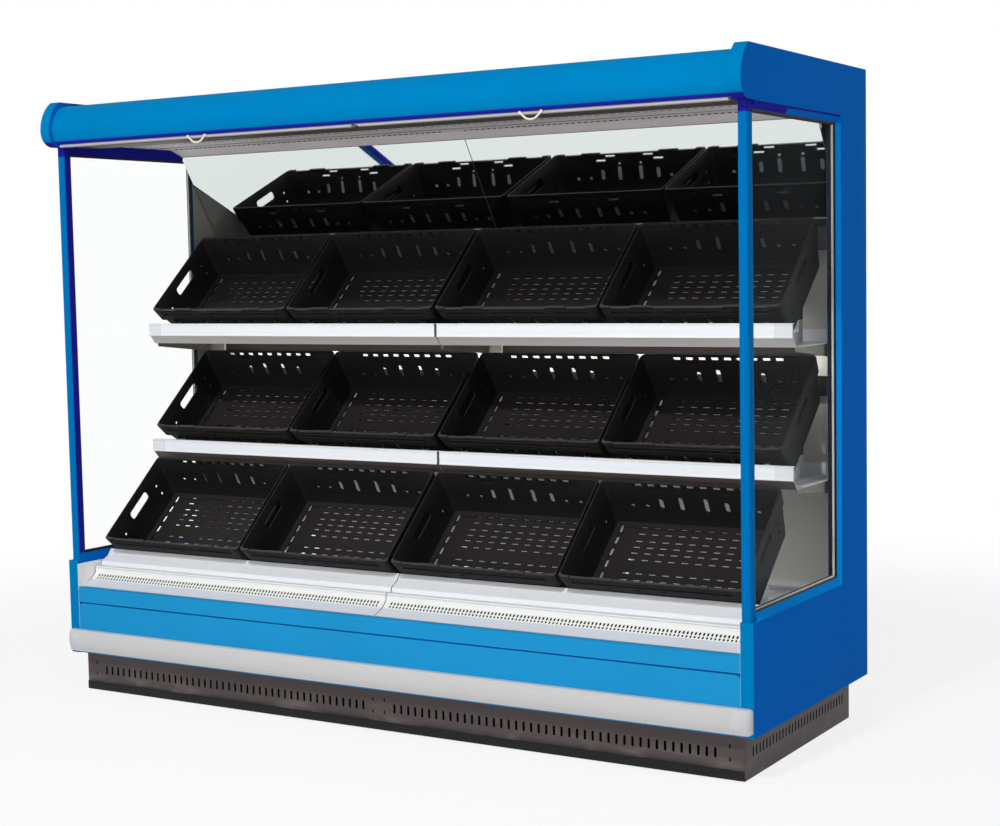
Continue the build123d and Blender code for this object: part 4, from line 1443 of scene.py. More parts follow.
@dataclass
class NightBlinds:
    """The two roller blinds with their bars and pulls."""

    bracket_edge: float = 0.0006
    bar_depth: float = 0.022
    bar_height: float = 0.013
    bar_chamfer: float = 0.007
    bar_round: float = 0.003
    plug: float = 0.004
    plug_inset: float = 0.0012
    wire: float = 0.0032
    pull: tuple[Point, ...] = ((-0.036, 0.0), (-0.014, -0.021), (0.014, -0.021), (0.036, 0.0))
    pull_bend: float = 0.012
    pull_place: Point = (0.0045, 0.0068)
    boss: float = 0.008
    boss_front: float = 0.003
    boss_seat: float = 0.0005
    axis: Point = (-0.4095, 1.950)
    roll_inner: float = 0.0206
    roll_outer: float = 0.0249
    turns: int = 11
    turn_steps: int = 28
    strip_steps: int = 30
    columns: int = 9
    strip_start: float = 0.001

    def build(self) -> None:
        """Makes both blinds."""
        dress("roller_brackets", STEEL, self.bracket_edge)
        for side in Side:
            dress(side.node("blind_roller"), ALUMINIUM)
            self.bar(side)
            self.cloth(side)

    def bar(self, side: Side) -> None:
        """The bottom bar with its end plugs, and the wire pull on it.

        Args:
            side: The blind's bay.
        """
        node = side.node("blind_bar")
        low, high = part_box(node)
        y0, y1 = high.y - self.bar_depth, high.y
        z0, z1 = high.z - self.bar_height, high.z
        corners = [(y0, z0), (y1, z0), (y1, z1), (y0 + self.bar_chamfer, z1), (y0, z1 - self.bar_chamfer)]
        bar = rounded(corners, self.bar_round)
        form = Form().prism(bar, low.x + self.plug, high.x - self.plug, ALONG_X)
        middle = (y0 + y1) / 2
        inset = [(y + math.copysign(self.plug_inset, middle - y), z) for y, z in corners]
        for x in ((low.x, low.x + self.plug), (high.x - self.plug, high.x)):
            form.prism(rounded(inset, self.bar_round), *x, ALONG_X)
        settle(form.piece(side.node("blind_rail")), BAR_GREY, node, body=node)
        self.wire_pull(side, Vector(((low.x + high.x) / 2, low.y, z0)), y0)

    def wire_pull(self, side: Side, under: Vector, bar_front: float) -> None:
        """The bent wire pull with a boss at each end.

        Args:
            side: The blind's bay.
            under: The foot of the bar's front, in its middle.
            bar_front: Y of the bar's front.
        """
        node = side.node("blind_bar")
        middle = under + Vector((0.0, *self.pull_place))
        run = rounded(self.pull, self.pull_bend, steps=8, closed=False)
        pull = Form().tube([middle + Vector((x, 0.0, z)) for x, z in run], self.wire)
        seat = bar_front - middle.y + self.boss_seat
        for x, z in (self.pull[0], self.pull[-1]):
            place = Matrix.Translation(middle + Vector((x, 0.0, z))) @ ALONG_Y
            pull.prism(slot(self.boss, self.boss), -self.boss_front, seat, place)
        settle(pull.piece(side.node("blind_pull")), PULL_CREAM, body=node)

    def cloth(self, side: Side) -> None:
        """The cloth wound on its roller, and the strip down to the bar.

        Args:
            side: The blind's bay.
        """
        low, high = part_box(side.node("blind_cloth"))
        bar = side.node("blind_bar")
        bar_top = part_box(bar)[1].z
        y0, z0 = self.axis
        count = self.turns * self.turn_steps
        run: list[Point] = []
        for i in range(count + 1):
            turn = math.pi - math.tau * (count - i) / self.turn_steps
            radius = self.roll_inner + (self.roll_outer - self.roll_inner) * i / count
            run.append((y0 + radius * math.cos(turn), z0 + radius * math.sin(turn)))
        front = run[-1][0]
        run += [(front, z0 + (bar_top - z0) * (i + 1) / self.strip_steps) for i in range(self.strip_steps)]
        rows = [[Vector((x, *p)) for x in spread(low.x, high.x, self.columns)] for p in run]
        sheet = Form().loft(rows, closed=False).piece(side.node("blind_sheet"), CLOTH_CREASE)
        settle(sheet, CLOTH, side.node("blind_cloth"), body=None)
        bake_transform(sheet)
        carriers = [side.node("blind_roller"), bar]


@dataclass
class Shelving:
    """The shelves with their rails, and the wall that carries them."""

    shelves: tuple[tuple[Level, Finish], ...] = ((Level.UPPER, SHELF_UPPER), (Level.LOWER, SHELF_LOWER))
    shelf_edge: float = 0.0007
    upright_edge: float = 0.0008
    wall_edge: float = 0.0006
    rail_height: float = 0.044
    rail_lip: Point = (0.0045, 0.0065)
    rail_groove: float = 0.0017
    rail_crown: float = 0.0006
    rail_round: float = 0.0016
    rail_inner: float = 0.005
    end_piece: float = 0.057
    end_gap: float = 0.0004
    joint_half: float = 0.0035
    joint_inset: float = 0.0008
    joint_depth: float = 0.8
    # The strips on the inner back below are painted shade, dark where shadow falls under the shelves and
    # behind the crates
    seal: Point = (0.003, 0.006)
    wall_shade_drop: float = 0.007
    wall_shade_inset: float = 0.004
    seal_round: float = 0.001
    mirror_shade_height: float = 0.018
    top_gap: float = 0.0005
    # Where the painted-shade strips behind each row start and end below its rims, and their colours
    wall_shades: tuple[tuple[Level, Point, Finish], ...] = (
        (Level.UPPER, (-0.092, -0.022), WALL_SHADE_GREY), (Level.LOWER, (-0.125, -0.070), WALL_SHADE_DARK),
    )

    def build(self) -> None:
        """Dresses the shelves, wall and rails."""
        dress("uprights", WHITE, self.upright_edge)
        dress("shelf_brackets", BRACKET_GREY, self.wall_edge)
        for side in Side:
            dress(side.node("back_liner"), LINER_WHITE, self.wall_edge)
            for level, finish in self.shelves:
                dress(side.node(f"shelf_{level.value}"), finish, self.shelf_edge)
            self.wall_strips(side)
        for level, _ in self.shelves:
            for side in Side:
                self.rail(level, side)
            self.rail_joint(level)

    def wall_strips(self, side: Side) -> None:
        """The strips over a bay's crates and behind them, dark as painted shade on the inner back.

        Args:
            side: The bay.
        """
        shelf_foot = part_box(side.node("shelf_upper"))[0].z
        self.wall_strip(side, "shelf_seal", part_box(Level.LOWER.crate())[1].z, shelf_foot)
        liner_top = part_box(side.node("back_liner"))[1].z - self.top_gap
        self.wall_strip(side, "mirror_seal", liner_top - self.mirror_shade_height, liner_top)
        for level, (foot, top), finish in self.wall_shades:
            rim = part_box(level.crate())[1].z
            self.wall_strip(side, f"foam_strip_{level.value}", rim + foot, rim + top, finish)

    def wall_strip(
        self, side: Side, stem: str, rim: float, top: float, finish: Finish = WALL_SHADE_DARK
    ) -> None:
        """A strip that hangs on the inner back, with a bead along its foot.

        Args:
            side: The bay that it is in.
            stem: The piece's name without its side.
            rim: The height that its foot hangs a little below.
            top: Height of its upper edge.
            finish: What it is made of.
        """
        low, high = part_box(side.node("back_liner"))
        thin, bead = self.seal
        foot = rim - self.wall_shade_drop
        run = [(0.0, top), (thin, top), (thin, foot + bead)]
        run += [(bead, foot + bead / 2), (bead, foot), (0.0, foot)]
        outline = rounded([(low.y - out, z) for out, z in run], self.seal_round, steps=3)
        form = Form().prism(outline, low.x + self.wall_shade_inset, high.x - self.wall_shade_inset, ALONG_X)
        settle(form.piece(side.node(stem)), finish)

    def section(self, level: Level) -> list[Point]:
        """A rail's section, a shallow channel with rolled lips.

        Args:
            level: The shelf that the rail is on.

        Returns:
            The outline as (Y, Z).
        """
        low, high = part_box("price_rails")
        z0 = high.z - self.rail_height if level is Level.UPPER else low.z
        z1 = z0 + self.rail_height
        floor = low.y + self.rail_groove
        lip, slope = self.rail_lip
        lips = [
            (high.y, z0), (high.y, z1), (low.y, z1), (low.y, z1 - lip), (floor, z1 - slope),
            (floor - self.rail_crown, (z0 + z1) / 2), (floor, z0 + slope), (low.y, z0 + lip), (low.y, z0),
        ]
        return rounded(lips, self.rail_round, steps=3)

    def rail(self, level: Level, side: Side) -> None:
        """One bay's rail and the short clear piece at its outer end.

        Args:
            level: The shelf that they are on.
            side: The bay.
        """
        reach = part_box("price_rails")[1].x
        split = reach - self.end_piece
        for stem, finish, ends in (
            ("ticket_rail", RAIL_WHITE, (self.rail_inner, split - self.end_gap)),
            ("rail_end", RAIL_CLEAR, (split, reach)),
        ):
            form = Form().prism(self.section(level), *side.span(*ends), ALONG_X)
            settle(form.piece(side.node(f"{stem}_{level.value}")), finish, "price_rails")

    def rail_joint(self, level: Level) -> None:
        """The dark clip that joins the two bays' rails.

        Args:
            level: The shelf that it is on.
        """
        outline = self.section(level)
        middle = sum(z for _, z in outline) / len(outline)
        back = max(y for y, _ in outline)
        shrunk = [
            (back + (y - back) * self.joint_depth, z + math.copysign(self.joint_inset, middle - z))
            for y, z in outline
        ]
        form = Form().prism(shrunk, -self.joint_half, self.joint_half, ALONG_X)
        settle(form.piece(f"rail_joint_{level.value}"), SEAM_GREY)


@dataclass
class Crates:
    """Twelve ventilated crates, all of one moulding, tipped towards the customer.

    An opening in a long wall is its place along X, its depth below the rim, its width and its height.
    """

    in_row: int = 4
    width: float = 0.600
    depth: float = 0.392
    height: float = 0.155
    wall: float = 0.003
    draft: float = math.tan(math.radians(5.9))
    foot_in: float = 0.041
    corner: float = 0.016
    rim: Point = (0.005, 0.010)
    rim_ease: float = 0.0008
    rim_lines: Point = (0.012, 0.001)
    inner_line: float = 0.0012
    foot_ease: Point = (0.003, 0.0025)
    floor_ease: tuple[Point, ...] = ((0.0, 0.006), (0.0015, 0.003))
    border: float = 0.024
    border_step: Point = (0.002, 0.0025)
    skirt: float = 0.055
    skirt_turn: float = 0.030
    skirt_edge: float = 0.0015
    skirt_proud: float = 0.0004
    dashes: int = 9
    dash: Point = (0.024, 0.0058)
    dash_pitch: float = 0.045
    back_rows: tuple[float, ...] = (0.019, 0.044, 0.073, 0.097, 0.120, 0.146)
    front_rows: tuple[float, ...] = (0.199, 0.225, 0.257, 0.286)
    side_dashes: int = 5
    side_dash: Point = (0.0095, 0.028)
    side_in: float = 0.024
    side_rows: Point = (0.216, 0.028)
    floor_cut: Point = (-0.01, 0.02)
    hand_slot: Point = (0.112, 0.031)
    hand_round: float = 0.013
    hand_drop: float = 0.047
    end_hole: float = 0.010
    end_holes: tuple[Point, ...] = ((0.078, 0.066), (0.078, 0.102), (0.303, 0.063), (0.303, 0.101))
    end_cut: float = 0.03
    long_half: float = 0.262
    pockets: tuple[Point, ...] = ((0.008, 0.017), (0.021, 0.033))
    pocket_depth: float = 0.0066
    pocket_round: float = 0.003
    lugs: Point = (0.118, 0.190)
    notch: float = 0.005
    notch_depth: float = 0.013
    notch_round: float = 0.004
    overshoot: float = 0.02
    front_vents: tuple[Opening, ...] = (
        (0.075, 0.0125, 0.040, 0.0075), (0.114, 0.027, 0.040, 0.0075), (0.042, 0.041, 0.015, 0.011),
    )
    back_vents: tuple[Opening, ...] = ((0.114, 0.027, 0.040, 0.0075),)
    vent_round: float = 0.002
    vent_cut: Point = (0.0008, 0.035)
    wall_slots: tuple[Opening, ...] = (
        (0.042, 0.0735, 0.017, 0.049), (0.110, 0.0765, 0.017, 0.036), (0.160, 0.087, 0.015, 0.011),
        (0.211, 0.087, 0.015, 0.011),
    )
    wall_cut: Point = (-0.012, 0.012)
    rim_dash: Point = (0.030, 0.0085)
    rim_round: float = 0.003
    rim_drop: float = 0.0095
    rim_pitch: float = 0.044
    rim_cut: Point = (-0.012, 0.030)

    def build(self) -> None:
        """Makes the moulding once and sets it in each place."""
        moulding = self.moulding()
        for level in Level:
            for number in range(1, self.in_row + 1):
                node = level.crate(number)
                low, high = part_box(node)
                rim_z = high.z - self.depth * math.sin(CRATE_TILT)
                crate = linked(f"vented_{node}", moulding.data)
                place = Matrix.Translation(((low.x + high.x) / 2, low.y, rim_z))
                crate.matrix_world = place @ Matrix.Rotation(CRATE_TILT, 4, "X")
                settle(crate, CRATE_BLACK, node, body=node)
        bpy.data.objects.remove(moulding)

    def lean(self, drop: float) -> float:
        """How far the front and back walls are drawn in at a depth below the rim."""
        return self.foot_in * drop / self.height

    def ring(self, side: float, end: float, drop: float) -> list[Vector]:
        """A rounded rectangle round the crate.

        Args:
            side: How far it is drawn in from the rim at the left and right.
            end: How far it is drawn in at the front and back.
            drop: Its depth below the rim.

        Returns:
            The ring's points.
        """
        x = self.width / 2 - side
        outline = oblong((-x, end), (x, self.depth - end), self.corner, steps=5)
        return [Vector((*p, -drop)) for p in outline]

    def outside(self) -> list[list[Vector]]:
        """Rings up the outside from the floor's underside to the rim.

        Returns:
            The rings.
        """
        foot = self.height
        lines = (foot - self.foot_ease[1], foot / 2, *self.rim_lines)
        steps = [(self.foot_ease[0], foot), *((0.0, drop) for drop in lines), (self.rim_ease, 0.0)]
        return [self.ring(self.draft * d + inset, self.lean(d) + inset, d) for inset, d in steps]

    def inside(self) -> list[list[Vector]]:
        """Rings down the inside from the rim to the floor, which has a raised border.

        Returns:
            The rings.
        """
        floor = self.height - self.wall
        foot = (self.draft * floor + self.wall, self.lean(floor) + self.wall)
        steps = [(-self.rim_ease, 0.0), (0.0, self.inner_line), (0.0, floor / 2)]
        steps += [(inset, floor - up) for inset, up in self.floor_ease]
        rings = []
        for inset, drop in steps:
            share = drop / floor
            side, end = (a * (1 - share) + b * share + inset for a, b in zip(self.rim, foot))
            rings.append(self.ring(side, end, drop))
        in_by, up_by = self.border_step
        for inset, drop in ((self.border - in_by, floor - up_by), (self.border, floor)):
            rings.append(self.ring(foot[0] + inset, foot[1] + inset, drop))
        return rings

    def hook(self, drop: float, inset: float) -> list[Point]:
        """Plan of the front skirt's face, from one side round the front to the other.

        Args:
            drop: The depth below the rim that it is taken at.
            inset: How far it is moved in.

        Returns:
            The open outline.
        """
        x, y = self.width / 2 - self.draft * drop - inset, self.draft * drop + inset
        path = [(-x, self.skirt_turn), (-x, y), (x, y), (x, self.skirt_turn)]
        return rounded(path, self.corner - inset, steps=5, closed=False)

    def skirts(self) -> Form:
        """The skirts that hang from the front and back rims and turn round the corners.

        Returns:
            Both skirts.
        """
        form = Form()
        for face, away in ((0.0, 1), (self.depth, -1)):
            rings = []
            for drop in (self.skirt_edge, self.skirt - self.skirt_edge, self.skirt):
                outline = [*self.hook(drop, -self.skirt_proud), *reversed(self.hook(drop, self.wall))]
                rings.append([Vector((x, face + away * y, -drop)) for x, y in outline])
            form.loft(rings)
        return form

    def moulding(self) -> bpy.types.Object:
        """The crate's mesh, upright with its front rim along X at the origin.

        Returns:
            The moulding.
        """
        tray = Form().loft([*self.outside(), *self.inside()]).piece("crate_tray", MOULDED_CREASE)
        skirts = self.skirts().piece("crate_skirts", MOULDED_CREASE)
        for piece in (tray, skirts):
            for cutters in (self.pocket_cutters, self.vent_cutters, self.rim_cutters):
                punch(piece, cutters(), MOULDED_CREASE)
        punch(tray, self.tray_cutters(), MOULDED_CREASE)
        return joined("crate_moulding", tray, skirts)

    def tray_cutters(self) -> Form:
        """Cutters for the floor's dashes, and the hand slots and round holes through both ends.

        Returns:
            The cutters.
        """
        holes = Form()
        floor = self.height - self.wall
        back = self.depth - self.lean(floor) - self.wall
        side = self.width / 2 - self.draft * floor - self.wall - self.side_in
        low, high = (cut - self.height for cut in self.floor_cut)
        for row in (*self.back_rows, *self.front_rows):
            for x in centred(self.dashes, self.dash_pitch):
                holes.prism(slot(*self.dash), low, high, Matrix.Translation((x, back - row, 0.0)))
        for x in (-side, side):
            for y in spread(*(back - row for row in self.side_rows), self.side_dashes):
                holes.prism(slot(*self.side_dash), low, high, Matrix.Translation((x, y, 0.0)))
        shapes = [(slot(*self.hand_slot, self.hand_round, steps=5), self.depth / 2, self.hand_drop)]
        shapes += [(slot(self.end_hole, self.end_hole, steps=4), y, drop) for y, drop in self.end_holes]
        for outline, y, drop in shapes:
            place = Matrix.Translation((0.0, y, -drop)) @ ALONG_X
            for x in (-self.width / 2, self.width / 2):
                holes.prism(outline, x - self.end_cut, x + self.end_cut, place)
        return holes

    def pocket_cutters(self) -> Form:
        """Cutters for the long pockets and the notch along the front.

        Returns:
            The cutters.
        """
        holes = Form()
        w = self.long_half
        for top, foot in self.pockets:
            outline = oblong((-w, -foot), (w, -top), self.pocket_round, steps=3)
            holes.prism(outline, -self.overshoot, self.pocket_depth, ALONG_Y)
        inner, outer = self.lugs
        for a, b in ((-w, -outer), (-inner, inner), (outer, w)):
            outline = oblong((a, -self.notch), (b, self.overshoot), self.notch_round, steps=3)
            holes.prism(outline, -self.overshoot, self.notch_depth, ALONG_Y)
        return holes

    def vent_cutters(self) -> Form:
        """Cutters for the skirts' vents and the slots in both long walls.

        Returns:
            The cutters.
        """
        holes = Form()
        near, far = self.vent_cut
        for vents, face, cut in (
            (self.front_vents, 0.0, (near, far)), (self.back_vents, self.depth, (-far, -near)),
        ):
            for x, drop, wide, tall in vents:
                self.wall_pair(holes, slot(wide, tall, self.vent_round), (x, face, drop), cut)
        for x, drop, wide, tall in self.wall_slots:
            for face in (self.lean(drop), self.depth - self.lean(drop)):
                self.wall_pair(holes, slot(wide, tall, steps=4), (x, face, drop), self.wall_cut)
        return holes

    def wall_pair(self, holes: Form, outline: Sequence[Point], place: Spot, cut: Point) -> None:
        """A cutter through a long wall and its twin on the other side of the middle.

        Args:
            holes: What they are added to.
            outline: Their outline.
            place: How far they are from the middle, their Y and their depth below the rim.
            cut: Where they start and end along Y.
        """
        x, face, drop = place
        for sign in (-1, 1):
            holes.prism(outline, *cut, Matrix.Translation((sign * x, face, -drop)) @ ALONG_Y)

    def rim_cutters(self) -> Form:
        """Cutters for the dashes under the back rim, which run level when the crate is tipped.

        Returns:
            The cutters.
        """
        holes = Form()
        level = Matrix.Rotation(-CRATE_TILT, 4, "X") @ ALONG_Y
        for x in centred(self.dashes, self.rim_pitch):
            place = Matrix.Translation((x, self.depth - self.rim[1], -self.rim_drop)) @ level
            holes.prism(slot(*self.rim_dash, self.rim_round), *self.rim_cut, place)
        return holes


@dataclass
class Deck:
    """The bottom deck with its slotted air-return grilles."""

    edge: float = 0.0009
    sheet: float = 0.0006
    under_back: float = 0.6
    start: Point = (-0.4035, 0.370)
    fold: Point = (-0.3595, 0.387)
    top: Point = (-0.3375, 0.408)
    bend: float = 0.004
    pitch: float = 0.0128
    slit: float = 0.0062
    slit_cut: float = 0.006
    margin: float = 0.018
    rows: tuple[Point, ...] = ((0.0070, 0.0085), (0.0195, 0.0115))
    # A black sheet under the grille's slots is painted shade: its gap, thickness, reach and inset
    grille_shade_gap: float = 0.0008
    grille_shade_sheet: float = 0.0006
    grille_shade_foot: float = 0.05
    grille_shade_head: float = 0.02
    grille_shade_inset: float = 0.01

    def build(self) -> None:
        """Dresses the deck and slots its grilles."""
        for side in Side:
            dress(side.node("deck"), WHITE, self.edge)
            self.grille(side)
            self.grille_shade(side)

    def rise(self) -> Vector:
        """The run from the grille's fold to its top, as (Y, Z)."""
        return Vector(self.top) - Vector(self.fold)

    def grille(self, side: Side) -> None:
        """One bay's folded grille with its two rows of fine slots.

        Args:
            side: The bay.
        """
        node = side.node("return_grille")
        low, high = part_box(node)
        run = [self.start, self.fold, self.top, (self.top[0], high.z)]
        shifts = [(self.sheet * self.under_back, -self.sheet)] * 3 + [(self.sheet, 0.0)]
        under = [(y + back, z + up) for (y, z), (back, up) in zip(run, shifts)]
        skin, lining = (rounded(line, self.bend, closed=False) for line in (run, under))
        form = Form().prism([*skin, *reversed(lining)], low.x, high.x, ALONG_X)
        piece = form.piece(side.node("air_return"))
        rise = self.rise()
        lean = Matrix.Rotation(math.atan2(rise.y, rise.x), 4, "X")
        length = high.x - low.x - 2 * self.margin
        count = int(length / self.pitch)
        holes = Form()
        for along, tall in self.rows:
            spot = Vector(self.fold) + rise.normalized() * along
            for i in range(count):
                x = low.x + self.margin + (i + 0.5) * length / count
                outline = slot(self.slit, tall, steps=2)
                holes.prism(outline, -self.slit_cut, self.slit_cut, Matrix.Translation((x, *spot)) @ lean)
        punch(piece, holes)
        settle(piece, GRILLE_WHITE, node)

    def grille_shade(self, side: Side) -> None:
        """A black sheet under a grille's slots, painted shade that keeps them dark.

        Args:
            side: The bay.
        """
        low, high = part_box(side.node("return_grille"))
        rise = self.rise()
        under = Vector((rise.y, -rise.x)).normalized()
        first, last = (under * depth for depth in (self.grille_shade_gap, self.grille_shade_gap + self.grille_shade_sheet))
        foot, head = Vector(self.fold) - rise * self.grille_shade_foot, Vector(self.top) + rise * self.grille_shade_head
        outline = [tuple(p) for p in (foot + first, head + first, head + last, foot + last)]
        form = Form().prism(outline, low.x + self.grille_shade_inset, high.x - self.grille_shade_inset, ALONG_X)
        settle(form.piece(side.node("return_gauze")), HONEYCOMB_AND_SHADE_BLACK)


@dataclass
class Base:
    """The front sheets, bumper, plinth, frame and feet."""

    frame_edge: float = 0.0008
    tub_edge: float = 0.001
    foot_edge: float = 0.001
    upper_edge: float = 0.0012
    panel_edge: float = 0.0016
    panel_corner: float = 0.020
    joint_depth: float = 0.004
    joint_gap: float = 0.0001
    joint_inset: float = 0.001
    joint_round: float = 0.0005
    bumper_bow: float = 0.007
    bow_power: float = 2.4
    bow_inset: float = 0.004
    bow_steps: int = 17
    shoulder: Point = (0.003, 0.002)
    shoulder_round: float = 0.002
    cap_round: float = 0.017
    cap_turn: float = 1.5
    cap_steps: int = 9
    cap_lap: float = 0.024
    cap_skin: float = 0.0005
    sheet: float = 0.002
    fold_outer: float = 0.004
    fold_inner: float = 0.002
    front_slots: int = 43
    side_slots: int = 30
    slot_size: Point = (0.0085, 0.030)
    slot_z: float = 0.077
    slot_start: float = 0.060
    slot_margin: float = 0.090
    side_margin: float = 0.060
    slot_cut: float = 0.01
    fixing: Point = (0.005, 0.012)
    fixing_x: Point = (0.022, 0.045)
    fixing_z: Point = (0.062, 0.100)
    # A black strip along the plinth's foot and a black sheet behind its slots are painted shade
    kick_shade: Point = (0.0016, 0.028)
    kick_shade_lift: float = 0.0005
    kick_shade_round: float = 0.0007
    kick_shade_inset: float = 0.001
    plinth_shade_gap: float = 0.006
    plinth_shade_sheet: float = 0.001
    plinth_shade_inset: float = 0.002

    def build(self) -> None:
        """Builds the base from the front sheets down."""
        dress("front_panel_upper", BLUE_PANEL, self.upper_edge)
        dress("tub", WHITE, self.tub_edge)
        dress("base_frame", STEEL, self.frame_edge)
        dress("levelling_feet", FAN_BLACK, self.foot_edge)
        self.front_panel()
        self.bumper()
        self.plinth()

    def front_panel(self) -> None:
        """The lower blue sheet with round upper corners, and dark blue strips in the joints round it,
        painted as the shadow in those gaps.
        """
        low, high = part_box("front_panel_lower")
        r = self.panel_corner
        a, b, c, d = oblong((low.x, low.z), (high.x, high.z))
        outline = [a, b, *rounded([b, c, d, a], r, steps=6, closed=False)[1:-1]]
        panel = Form().prism(outline, low.y, high.y, ALONG_Y).piece("front_sheet")
        soften(panel, self.panel_edge)
        settle(panel, BLUE_PANEL, "front_panel_lower")
        back, gap, inset = low.y + self.joint_depth, self.joint_gap, self.joint_inset
        level = oblong((low.x, high.z - r), (high.x, high.z + r))
        strip = Form().prism(level, back, high.y - gap, ALONG_Y)
        top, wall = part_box("front_panel_upper")[1].z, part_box("end_right")[0].x
        for side in Side:
            x0, x1 = side.span(high.x + gap, wall)
            upright = oblong((x0, low.z + inset), (x1, top - inset), self.joint_round, steps=2)
            strip.prism(upright, back, high.y, ALONG_Y)
        settle(strip.piece("front_joint_shade_strip"), JOINT_SHADE_BLUE)

    def bow(self) -> list[Point]:
        """The bumper's section: flat back, stepped edges and a bowed face.

        Returns:
            The outline as (Y, Z).
        """
        low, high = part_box("bumper")
        middle, half = (low.z + high.z) / 2, (high.z - low.z) / 2 - self.bow_inset
        front = low.y + self.bumper_bow
        turns = spread(-1.0, 1.0, self.bow_steps)
        face = [(low.y + self.bumper_bow * abs(t) ** self.bow_power, middle - t * half) for t in turns]
        top = [(high.y, high.z), (front + self.shoulder[0], high.z), (front, high.z - self.shoulder[1])]
        foot = [(y, low.z + high.z - z) for y, z in reversed(top)]
        return [*rounded(top, self.shoulder_round, steps=2, closed=False), *face, *foot]

    def bumper(self) -> None:
        """The bumper strip and its round translucent ends."""
        low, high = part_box("bumper")
        section = self.bow()
        settle(Form().prism(section, low.x, high.x, ALONG_X).piece("bumper_strip"), BUMPER_GREY, "bumper")
        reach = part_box("bumper_caps")[1].x
        middle = (low.z + high.z) / 2
        depth, height = high.y - low.y, high.z - low.z
        stations = [(high.x - self.cap_lap, 0.0)]
        for turn in spread(0.0, self.cap_turn, self.cap_steps):
            stations.append((reach - self.cap_round * (1 - math.sin(turn)), turn))
        form = Form()
        for side in Side:
            rings = []
            for x, turn in stations:
                shrink = self.cap_round * (1 - math.cos(turn))
                wide = 1 + (self.cap_skin - shrink) / depth
                tall = 1 + (2 * self.cap_skin - shrink) / height
                ring = [(high.y + (y - high.y) * wide, middle + (z - middle) * tall) for y, z in section]
                rings.append([Vector((side.value * x, *p)) for p in ring])
            form.loft(rings)
        settle(form.piece("bumper_ends", CAP_CREASE), CAP_CLEAR, "bumper_caps")

    def plan(self, inset: float) -> list[Point]:
        """Plan of the plinth's faces, from the back of one side round the front to that of the other.

        Args:
            inset: How far they are moved in.

        Returns:
            The open outline.
        """
        low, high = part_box("plinth")
        x0, x1, front = low.x + inset, high.x - inset, low.y + inset
        return [(x0, high.y), (x0, front), (x1, front), (x1, high.y)]

    def plinth(self) -> None:
        """The plinth's slotted front and sides, a black strip along its foot and a black sheet behind, both
        painted shade.
        """
        low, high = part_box("plinth")
        outer = rounded(self.plan(0.0), self.fold_outer, steps=3, closed=False)
        inner = rounded(self.plan(self.sheet), self.fold_inner, steps=3, closed=False)
        plinth = Form().prism([*outer, *reversed(inner)], low.z, high.z).piece("plinth_sheets")
        punch(plinth, self.plinth_cutters())
        settle(plinth, PLINTH_GREY, "plinth")
        # painted shade: a black strip where the front darkens at its foot
        thick, top = self.kick_shade
        foot = (low.y - thick, low.z + self.kick_shade_lift)
        outline = oblong(foot, (low.y, low.z + top), self.kick_shade_round, steps=2)
        kick_shade = Form().prism(outline, low.x + self.kick_shade_inset, high.x - self.kick_shade_inset, ALONG_X)
        settle(kick_shade.piece("kick_shade_strip"), KICK_SHADE_BLACK)
        # painted shade: a black sheet behind the slots that keeps them dark
        near, far = (self.plan(self.sheet + self.plinth_shade_gap + t) for t in (0.0, self.plinth_shade_sheet))
        inset = self.plinth_shade_inset
        plinth_shade = Form().prism([*near, *reversed(far)], low.z + inset, high.z - inset)
        settle(plinth_shade.piece("plinth_shade_backing"), HONEYCOMB_AND_SHADE_BLACK)

    def plinth_cutters(self) -> Form:
        """Cutters for the plinth's upright slots and the small slots for its fixings.

        Returns:
            The cutters.
        """
        low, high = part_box("plinth")
        holes = Form()
        for sign in (-1, 1):
            for x in spread(self.slot_start, high.x - self.slot_margin, self.front_slots):
                self.upright_slot(holes, (sign * x, low.y, self.slot_z), ALONG_Y, self.slot_size)
            for x in (self.fixing_x[0], high.x - self.fixing_x[1]):
                for z in self.fixing_z:
                    self.upright_slot(holes, (sign * x, low.y, z), ALONG_Y, self.fixing)
            for y in spread(low.y + self.side_margin, high.y - self.side_margin, self.side_slots):
                self.upright_slot(holes, (sign * high.x, y, self.slot_z), ALONG_X, self.slot_size)
        return holes

    def upright_slot(self, holes: Form, spot: Spot, axis: Matrix, size: Point) -> None:
        """A cutter for a rounded upright slot through a sheet."""
        holes.prism(slot(*size), -self.slot_cut, self.slot_cut, Matrix.Translation(spot) @ axis)


@dataclass
class Cooling:
    """The fans, coil and pipes under the deck."""

    edge: float = 0.0006

    def build(self) -> None:
        """Dresses what works under the deck."""
        for node, finish in (("fan_plate", STEEL), ("evaporator", FINS), ("pipework", COPPER)):
            dress(node, finish, self.edge)
        for side in Side:
            dress(side.node("fan"), FAN_BLACK, self.edge)


